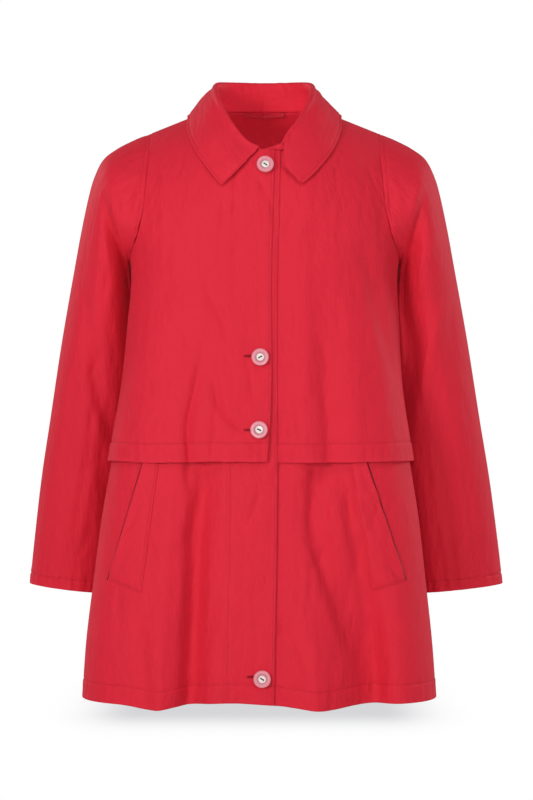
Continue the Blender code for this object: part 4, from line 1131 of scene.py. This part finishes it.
# a stitched line and puckers below the fold, inside the back
belowFold = np.take_along_axis(u, np.argmax(grid[..., 2], axis=1)[:, None], axis=1) - u
inBack = ease((collarCut["backHalf"] - np.abs(grid[..., 0])) / collarCut["backBlend"] + 1)
inBack = inBack * (grid[..., 1] > collarCut["backY"])
groove = collarCut["foldGroove"] * bell(belowFold - collarCut["foldAt"], collarCut["foldWidth"])
relief = relief - groove * inBack
pucker = collarCut["foldPucker"] * waves(v, collarCut["foldWave"])
relief = relief + pucker * bell(belowFold - collarCut["foldPuckerAt"], collarCut["foldPuckerWidth"]) * inBack
lumps = collarCut["lumps"] * unevenness(v, u, *collarCut["lumpWave"]) * onLeaf
lumps = lumps * ease(edgeAway / collarCut["lumpsFrom"])
grid = grid + normal * lumps[..., None]
outer = grid + normal * (cloth["collarWall"] / 2 + relief)[..., None]
collar = clothWall("collarTurned", outer, grid - normal * cloth["collarWall"] / 2, edgeWear(nearEdge))
leafStart = int(collarCut["points"] * collarCut["leafStart"])
lines = [cutLine(alongColumn(outer, normal, collarCut["edgeStitch"], fromEnd=True), slice(3, -3))]
for fromEnd in (False, True):
    line = cutLine(alongRow(outer, normal, collarCut["edgeStitch"], fromEnd), slice(leafStart, None))
    lines.append(cutLine(line, np.linalg.norm(line[0] - line[0][-1], axis=1) > collarCut["edgeStitch"]))
panels["collar"] = (collar, stitchPiece("stitchesCollar", lines))
tellSize("collar", grid, u, v)

# the low end of the stand, turned over along the left front's neckline as far as the middle
standEnd = {
    "wall": 0.0007, "foot": 0.0003, "deep": 0.0040, "points": 13, "stations": 40,
    "startX": 0.0250, "endX": 0.0010, "power": 0.7, "wear": 0.3,
}
standTable = makeTable("x rise", [(0.0010, 0.0012), (0.0100, 0.0040), (0.0170, 0.0068), (0.0250, 0.0106)])
x = np.linspace(standEnd["startX"], standEnd["endX"], standEnd["stations"])
rise = smoothAt(x, standTable["x"], standTable["rise"])
face = bodyDepth(x, np.full(x.shape, frontNeckZ), -1, {})
sweep = np.linspace(0, math.pi, standEnd["points"])[None, :]
y = face[:, None] + standEnd["deep"] * (0.5 - 0.5 * np.cos(sweep)) - standEnd["foot"]
z = frontNeckZ + standEnd["foot"] + rise[:, None] * np.sin(sweep) ** standEnd["power"]
grid = np.stack([x[:, None] + 0 * sweep, y, z], -1)
normal = gridNormals(grid)
normal *= np.sign(normal[standEnd["stations"] // 2, standEnd["points"] // 2, 2])
collarStand = clothWall("collarStandEnd", grid, grid - normal * standEnd["wall"], standEnd["wear"] + 0 * y)


# pocket welts on the fronts, open along their outer edge
weltCut = {
    "flat": (0.055, 0.19), "area": 0.0063, "topZ": -0.438, "rows": 70, "columns": 26, "edgeStitch": 0.0028,
    "low": 0.0001, "lift": 0.0009, "liftReach": 0.014, "wall": 0.0006, "mouthAway": 0.0017, "wear": 0.5,
    "lip": 0.0012, "lipWidth": 0.006, "lipFrom": 0.02,
    "wave": (91, 0.007, 0.018, 6), "pucker": 0.00030, "puckerAt": 0.006, "puckerWidth": 0.004,
    "groove": 0.0003, "grooveWidth": 0.0012, "grooveFrom": 0.002,
}
weltTable = makeTable("topOuterX topInnerX lowOuterX lowOuterZ lowInnerX lowInnerZ", [
    (-0.1468, -0.1306, -0.1957, -0.5990, -0.1535, -0.6130),
    (0.1225, 0.1030, 0.1763, -0.5990, 0.1346, -0.6115),
])
pocketShadeLook = {"pitch": 0.0030, "length": 0.0050, "width": 0.0018, "height": 0.00030}
mouths = {}
down = np.linspace(0, 1, weltCut["rows"] + 1)[:, None]
across = np.linspace(0, 1, weltCut["columns"] + 1)[None, :]
for i, (side, word) in enumerate(sides):
    corner = {name: values[i] for name, values in weltTable.items()}
    outerX = corner["topOuterX"] + (corner["lowOuterX"] - corner["topOuterX"]) * down
    innerX = corner["topInnerX"] + (corner["lowInnerX"] - corner["topInnerX"]) * down
    outerZ = weltCut["topZ"] + (corner["lowOuterZ"] - weltCut["topZ"]) * down
    innerZ = weltCut["topZ"] + (corner["lowInnerZ"] - weltCut["topZ"]) * down
    x, z = outerX + (innerX - outerX) * across, outerZ + (innerZ - outerZ) * across
    grid = bodyPoints(x, z, -1, frontCreases)
    normal = bodyNormals(grid, -1)
    u, v = arcAcross(grid), arcAlong(grid)
    fromSide, fromFoot = u[:, -1:] - u, v[-1:] - v
    sewn = np.minimum(fromSide, fromFoot)  # distance from the sewn edges
    rise = weltCut["low"] + weltCut["lift"] * ease(sewn / weltCut["liftReach"])
    rise = rise + weltCut["lip"] * bell(u, weltCut["lipWidth"]) * ease(fromFoot / weltCut["lipFrom"])
    alongSeam = np.where(fromSide < fromFoot, v, u)
    pucker = weltCut["pucker"] * (1 + waves(alongSeam, weltCut["wave"], side))
    rise = rise + pucker * bell(sewn - weltCut["puckerAt"], weltCut["puckerWidth"])
    groove = weltCut["groove"] * bell(sewn - weltCut["edgeStitch"], weltCut["grooveWidth"])
    rise = rise - groove * ease(sewn / weltCut["grooveFrom"])
    outer = grid + normal * (rise + weltCut["wall"])[..., None]
    name = word.capitalize()
    welt = clothWall("welt" + name, outer, grid + normal * rise[..., None], weltCut["wear"] * edgeWear(u))
    lines = [cutLine(alongColumn(outer, normal, weltCut["edgeStitch"], fromEnd=True), slice(None, -3)),
             cutLine(alongRow(outer, normal, weltCut["edgeStitch"], fromEnd=True), slice(1, -2))]
    panels["welt" + word] = (welt, stitchPiece("stitchesWelt" + name, lines))
    mouths[word] = [(at[0] + side * weltCut["mouthAway"], at[2]) for at in grid[:, 0]]
    tellSize("welt " + word, outer, u, v)

# hanger loop inside the back neck
loopCut = {
    "flat": (0.054, 0.0105), "area": 0.00030, "halfLength": 0.026, "width": 0.005,
    "sag": 0.0015, "topZ": 0.0058, "inset": 0.0017, "wall": 0.0005,
    "bow": 0.0003, "ridge": 0.0003, "rows": 8, "columns": 49, "wear": 0.3,
}
x = np.linspace(-loopCut["halfLength"], loopCut["halfLength"], loopCut["columns"])
along = x / loopCut["halfLength"]
y = bodyDepth(x, np.full(x.shape, loopCut["topZ"]), 1, {}) - loopCut["inset"]
y = y - loopCut["bow"] * (1 - along**4)
z = loopCut["topZ"] - loopCut["sag"] * (1 - along**2)
ridge = loopCut["ridge"] * np.sin(np.linspace(0, math.pi, loopCut["rows"]))
drops = np.linspace(0, loopCut["width"], loopCut["rows"])
outer = np.array([np.stack([x, y - out, z - drop], -1) for drop, out in zip(drops, ridge)])
wear = np.full(outer.shape[:2], loopCut["wear"])
hangerLoop = clothWall("hangerLoop", outer, outer + (0, loopCut["wall"], 0), wear)
hangerLoop.data.materials[0] = satinThread  # painted shade: the tape takes the darker satin-thread colour so that it looks shaded inside the back neck
print("hanger loop", round(gridArea(outer), 5))


# where the foremost cloth lies at x, z, and the way that it faces over a button's width
bpy.context.view_layer.update()
facings = [panels[kind + word][0] for _, word in sides for kind in ("front", "flap")]


def clothOn(piece, x, z):
    return piece.ray_cast(Vector((x, -1, z)), Vector((0, 1, 0)))


def clothAt(x, z):
    best = None
    for piece in facings:
        found, place, way, _ = clothOn(piece, x, z)
        if found and (best is None or place.y < best[0].y):
            best = (place, way)
    return np.array(best[0]), np.array(best[1])


def clothFacing(x, z, reach):
    turns = np.linspace(0, 2 * math.pi, 13)[:-1]
    spots = np.array([clothAt(x + reach * math.cos(a), z + reach * math.sin(a))[0] for a in turns])
    way = np.linalg.svd(spots - spots.mean(axis=0))[2][2]
    way = way * -np.sign(way[1])
    centre = clothAt(x, z)[0]
    high = max(float(np.max((spots - centre) @ way)), 0)
    return centre + way * high, way


# painted shade for the mouth of each pocket: a dark strip along the free edge of its welt
pocketShadeLines = []
for word, line in mouths.items():
    spots = [clothOn(panels["front" + word][0], x, z) for x, z in line]
    pocketShadeLines.append((np.array([s[1] for s in spots]), np.array([s[2] for s in spots])))
paintedPocketShades = stitchPiece("paintedPocketShades", pocketShadeLines, pocketShadeCloth, pocketShadeLook)


# buttonholes to the side of the lower buttons: a dark strip of painted shade in each slit, and its close
# stitches
buttonholes = {
    "second": {"start": -0.0243, "end": -0.0040, "z": -0.3182},
    "third": {"start": -0.0242, "end": -0.0056, "z": -0.4106},
    "fourth": {"start": -0.0203, "end": -0.0014, "z": -0.7164},
}
slitLook = {"pitch": 0.0014, "length": 0.0026, "width": 0.0010, "height": 0.00016, "points": 30}
satinLook = {
    "pitch": 0.00072, "away": 0.00118, "length": 0.0019, "width": 0.00066, "height": 0.00026,
    "past": 0.0004, "barX": (0.0010, 0.0016), "barZ": (-0.0010, 0.0, 0.0010),
}
slitLines, satinShapes = [], []
for hole in buttonholes.values():
    spots = [clothAt(at, hole["z"]) for at in np.linspace(hole["start"], hole["end"], slitLook["points"])]
    slitLines.append((np.array([s[0] for s in spots]), np.array([s[1] for s in spots])))
    along = np.arange(hole["start"] - satinLook["past"], hole["end"] + satinLook["past"], satinLook["pitch"])
    places = [(at, way * satinLook["away"]) for at in along for way in (-1, 1)]
    # the bar across the open end
    places += [(hole["start"] - back, rise) for back in satinLook["barX"] for rise in satinLook["barZ"]]
    spots = [clothAt(at, hole["z"] + rise) for at, rise in places]
    centres, ups = np.array([s[0] for s in spots]), np.array([s[1] for s in spots])
    satinShapes.append(stitchShapes(centres, unit(np.array([0, 0, 1]) - ups * ups[:, 2:]), ups, satinLook))
slitShadeStrips = stitchPiece("buttonholeSlits", slitLines, slitShadeCloth, slitLook)
satin = addObject("buttonholeStitches", *joinShapes(satinShapes), satinThread)
print("buttonholes made")


# buttons: a dished disc with two holes, modelled once and copied
buttonShape = {
    "points": 56, "radius": 0.0108, "thick": 0.0034, "rimWidth": 0.0046, "dish": 0.0009, "bevel": 0.0008,
    "lip": 0.0008, "backDish": 0.0004, "facing": 0.9, "holePoints": 20, "holeRadius": 0.00105,
    "holeAway": 0.0019, "drillDepth": 0.02, "clear": 0.0012, "seatReach": 0.0085,
    "bevelAngle": 25, "smoothAngle": 38,
    "places": [  # x, z and turn in degrees
        (0.0010, -0.0772, -35), (-0.0051, -0.3198, 28), (-0.0068, -0.4105, -24), (-0.0026, -0.7190, -32)],
}
strandLook = {"length": 2 * buttonShape["holeAway"] + 0.0013, "width": 0.00075, "height": 0.00042}
shankShape = {
    "strandAway": 0.00034, "strandRise": 0.00012, "points": 14, "rings": 9, "top": 0.0008, "past": 0.0003,
    "reach": 0.0022, "winding": 0.00022,
}


def selectFaces(made, test):
    bpy.ops.mesh.select_mode(type="FACE")
    bpy.ops.mesh.select_all(action="DESELECT")
    mesh = bmesh.from_edit_mesh(made.data)
    for face in mesh.faces:
        face.select = bool(test(face))
    bmesh.update_edit_mesh(made.data)


def addCylinder(points, radius, depth, place):
    bpy.ops.object.select_all(action="DESELECT")
    bpy.ops.mesh.primitive_cylinder_add(vertices=points, radius=radius, depth=depth, location=place)
    return bpy.context.object


def modelButton(shape):
    disc = addCylinder(shape["points"], shape["radius"], shape["thick"], (0, 0, shape["thick"] / 2))
    bpy.ops.object.transform_apply(location=True, rotation=True, scale=True)
    bpy.ops.object.mode_set(mode="EDIT")
    selectFaces(disc, lambda face: face.normal.z > shape["facing"])
    bpy.ops.mesh.inset(thickness=shape["rimWidth"], depth=0)
    bpy.ops.mesh.inset(thickness=shape["lip"], depth=-shape["dish"])
    selectFaces(disc, lambda face: face.normal.z < -shape["facing"])
    bpy.ops.mesh.inset(thickness=shape["rimWidth"], depth=shape["backDish"])
    bpy.ops.object.mode_set(mode="OBJECT")
    soften = disc.modifiers.new("soften", "BEVEL")
    soften.width = shape["bevel"]
    soften.segments = 4
    soften.limit_method = "ANGLE"
    soften.angle_limit = math.radians(shape["bevelAngle"])
    bpy.ops.object.modifier_apply(modifier="soften")
    for way in (-1, 1):
        place = (way * shape["holeAway"], 0, 0)
        drill = addCylinder(shape["holePoints"], shape["holeRadius"], shape["drillDepth"], place)
        bpy.ops.object.select_all(action="DESELECT")
        bpy.context.view_layer.objects.active = disc
        hole = disc.modifiers.new("hole", "BOOLEAN")
        hole.operation = "DIFFERENCE"
        hole.solver = "EXACT"
        hole.object = drill
        bpy.ops.object.modifier_apply(modifier="hole")
        bpy.data.objects.remove(drill)
    disc.data.materials.clear()
    disc.data.materials.append(pearl)
    layers = disc.data.uv_layers
    if "face" not in layers:
        layers.new(name="face")
    for other in [layer for layer in layers if layer.name != "face"]:
        layers.remove(other)
    for corner in disc.data.loops:
        spot = disc.data.vertices[corner.vertex_index].co
        layers["face"].data[corner.index].uv = (spot.x / shape["radius"], spot.y / shape["radius"])
    bpy.ops.object.select_all(action="DESELECT")
    disc.select_set(True)
    bpy.context.view_layer.objects.active = disc
    bpy.ops.object.shade_smooth_by_angle(angle=math.radians(shape["smoothAngle"]))
    return disc


def threadShapes(shape, shank):  # two strands between the holes on top, and the wound shank under the button
    face = shape["thick"] - shape["dish"] + shank["strandRise"]
    centres = np.array([(0, way * shank["strandAway"], face) for way in (-1, 1)])
    strands = stitchShapes(centres, np.array([(1.0, 0, 0)] * 2), np.array([(0, 0, 1.0)] * 2), strandLook)
    count, last = shank["points"], shank["rings"] - 1
    turn = np.linspace(0, 2 * math.pi, count, endpoint=False)
    heights = np.linspace(shank["top"], -shape["clear"] - shank["past"], last + 1)
    points, faces = [], []
    for k, height in enumerate(heights):
        reach = shank["reach"] + shank["winding"] * (k % 2)
        points.append(np.stack([reach * np.cos(turn), reach * np.sin(turn), 0 * turn + height], -1))
    points = np.concatenate(points + [[[0, 0, heights[0]], [0, 0, heights[-1]]]])
    top, bottom = len(points) - 2, len(points) - 1
    for j in range(count):
        k = (j + 1) % count
        faces.append((top, j, k))
        for high in range(0, last * count, count):
            faces.append((high + j, high + count + j, high + count + k, high + k))
        faces.append((last * count + j, bottom, last * count + k))
    return joinShapes([strands, (points, faces)])


discModel = modelButton(buttonShape)
threadPoints, threadFaces = threadShapes(buttonShape, shankShape)
buttons = []
for i, (x, z, turn) in enumerate(buttonShape["places"]):
    place, way = clothFacing(x, z, buttonShape["seatReach"])
    side = unit(np.cross([0, 0, 1], way))
    up = np.cross(way, side)
    across, along = math.cos(math.radians(turn)), math.sin(math.radians(turn))
    axes = [side * across + up * along, up * across - side * along, way]
    seat = Matrix(np.stack(axes, -1).tolist()).to_4x4()
    seat.translation = Vector(place + way * buttonShape["clear"])
    disc = bpy.data.objects.new("button%d" % (i + 1), discModel.data.copy())
    bpy.context.collection.objects.link(disc)
    thread = addObject("buttonThread%d" % (i + 1), threadPoints, threadFaces, darkThread)
    for made in (disc, thread):
        made.data.transform(seat)
    buttons.append((disc, thread))
bpy.data.objects.remove(discModel)
print("buttons made")


# what each piece rides on and the parts it stands for
def finishPiece(made, slot, *nodes):
    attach(made, "root")
    if nodes:
        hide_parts(*nodes)


def finishSheet(piece, node, extras):
    finishPiece(piece, "coat_cloth", node)
    for extra in extras:
        finishPiece(extra, "coat_cloth")


finishSheet(backPiece, "back", [backStitches])
cuts = {"front": frontCut, "flap": flapCut, "sleeve": sleeveCut, "welt": weltCut}
for kind, cut in cuts.items():
    for _, word in sides:
        piece, stitches = panels[kind + word]
        finishSheet(piece, kind + "_" + word, [stitches])
collar, stitches = panels["collar"]
finishSheet(collar, "collar", [stitches, collarStand])
finishSheet(hangerLoop, "hanger_loop", [])
for made in (slitShadeStrips, satin, paintedPocketShades):
    finishPiece(made, "coat_cloth")
for i, (disc, thread) in enumerate(buttons):
    finishPiece(disc, "button_pearl", "button_%d" % (i + 1))
    finishPiece(thread, "button_pearl")


# floor, light and camera
stage = {
    "floorZ": -0.7600, "floorSize": 60, "floorRoughness": 0.9, "worldLight": 0.15,
    "shadowMiddle": (-0.0065, -0.045, 0), "shadowHalf": (0.150, 0.125, 0), "shadowFade": (0.055, 0.125, 1),
    "neckPlace": (0.0, -0.050, -0.060), "neckPower": 0.17, "neckSize": 0.02,
    "aim": (0, 0, -0.35), "lens": 124.6, "sensor": 36, "eye": (0.0026, -3.6, -0.3731),
}
lights = {
    "keyLight": {"place": (-1.9, -2.8, 0.45), "power": 46, "size": 0.9},
    "fillLight": {"place": (0.0, -3.6, -0.05), "power": 20, "size": 0.5},
    "sideLight": {"place": (2.3, -2.4, 0.25), "power": 15, "size": 0.8},
    "topLight": {"place": (-0.2, -1.7, 2.2), "power": 17, "size": 0.9},
    "backLight1": {"place": (-2.6, 2.4, 1.1), "power": 30, "size": 1.0},
    "backLight2": {"place": (3.0, 1.5, 0.8), "power": 42, "size": 1.0},
}


def showToCamera(tree, usual, seen, output):  # what the camera sees in place of what lights the scene
    ray = tree.nodes.new("ShaderNodeLightPath")
    choose = tree.nodes.new("ShaderNodeMixShader")
    fillSockets(tree, choose.inputs, (ray.outputs["Is Camera Ray"], usual.outputs[0], seen.outputs[0]))
    tree.links.new(choose.outputs[0], tree.nodes[output].inputs["Surface"])


bpy.ops.object.select_all(action="DESELECT")
bpy.ops.mesh.primitive_plane_add(size=stage["floorSize"], location=(0, 0, stage["floorZ"]))
floor = bpy.context.object
floor.name = "studioFloor"
floorPaint, tree, shader = newMaterial("paleFloor", stage["floorRoughness"])
place = tree.nodes.new("ShaderNodeTexCoord").outputs["Object"]
dim = tuple(finishes["floorDim"] * c for c in finishes["floor"])
grain = noiseNode(tree, place, 3.0, 3)
tree.links.new(mixColours(tree, grain, finishes["floor"], dim), shader.inputs["Base Color"])
setInputs(shader, {"Specular IOR Level": 0.1})
# for camera rays the floor glows an even white with a painted soft shadow round the hem's footprint; other
# rays see the plain floor paint
# the painted shadow's mask: 1 over the hem's footprint, fading to 0 round it
away = place
steps = (("SUBTRACT", stage["shadowMiddle"]), ("ABSOLUTE", None), ("SUBTRACT", stage["shadowHalf"]),
         ("MAXIMUM", (0, 0, 0)), ("DIVIDE", stage["shadowFade"]), ("LENGTH", None))
for operation, value in steps:
    away = mathNode(tree, operation, away, value, "ShaderNodeVectorMath")
for operation, value in (("POWER", 2.0), ("MULTIPLY", -1.0), ("EXPONENT", None)):
    away = mathNode(tree, operation, away, value)
paintedShadowGlow = tree.nodes.new("ShaderNodeEmission")
tree.links.new(mixColours(tree, away, (1.0, 1.0, 1.0), finishes["floorPaintedShadow"]), paintedShadowGlow.inputs["Color"])
showToCamera(tree, shader, paintedShadowGlow, "Material Output")
floor.data.materials.append(floorPaint)

world = bpy.data.worlds.new("softStudio")
bpy.context.scene.world = world
world.use_nodes = True
around = world.node_tree.nodes["Background"]
seen = world.node_tree.nodes.new("ShaderNodeBackground")
setInputs(around, {"Color": (1, 1, 1, 1), "Strength": stage["worldLight"]})
setInputs(seen, {"Color": (1, 1, 1, 1), "Strength": 1.0})
showToCamera(world.node_tree, around, seen, "World Output")


def addToScene(name, data, place):
    made = bpy.data.objects.new(name, data)
    bpy.context.collection.objects.link(made)
    made.location = place
    return made


for name, look in lights.items():
    light = bpy.data.lights.new(name, "AREA")
    light.energy = look["power"]
    light.size = look["size"]
    made = addToScene(name, light, look["place"])
    made.rotation_euler = (Vector(stage["aim"]) - Vector(look["place"])).to_track_quat("-Z", "Y").to_euler()
small = bpy.data.lights.new("neckLight", "POINT")  # a little light into the open neck
small.energy = stage["neckPower"]
small.shadow_soft_size = stage["neckSize"]
addToScene("neckLight", small, stage["neckPlace"]).visible_camera = False

camera = bpy.data.cameras.new("camera")
camera.sensor_fit = "VERTICAL"
camera.sensor_height = stage["sensor"]
camera.lens = stage["lens"]
eye = addToScene("camera", camera, stage["eye"])
eye.rotation_euler = (math.radians(90), 0, 0)
bpy.context.scene.camera = eye
bpy.context.scene.view_settings.view_transform = "Standard"
print("stage set")

bpy.context.view_layer.update()
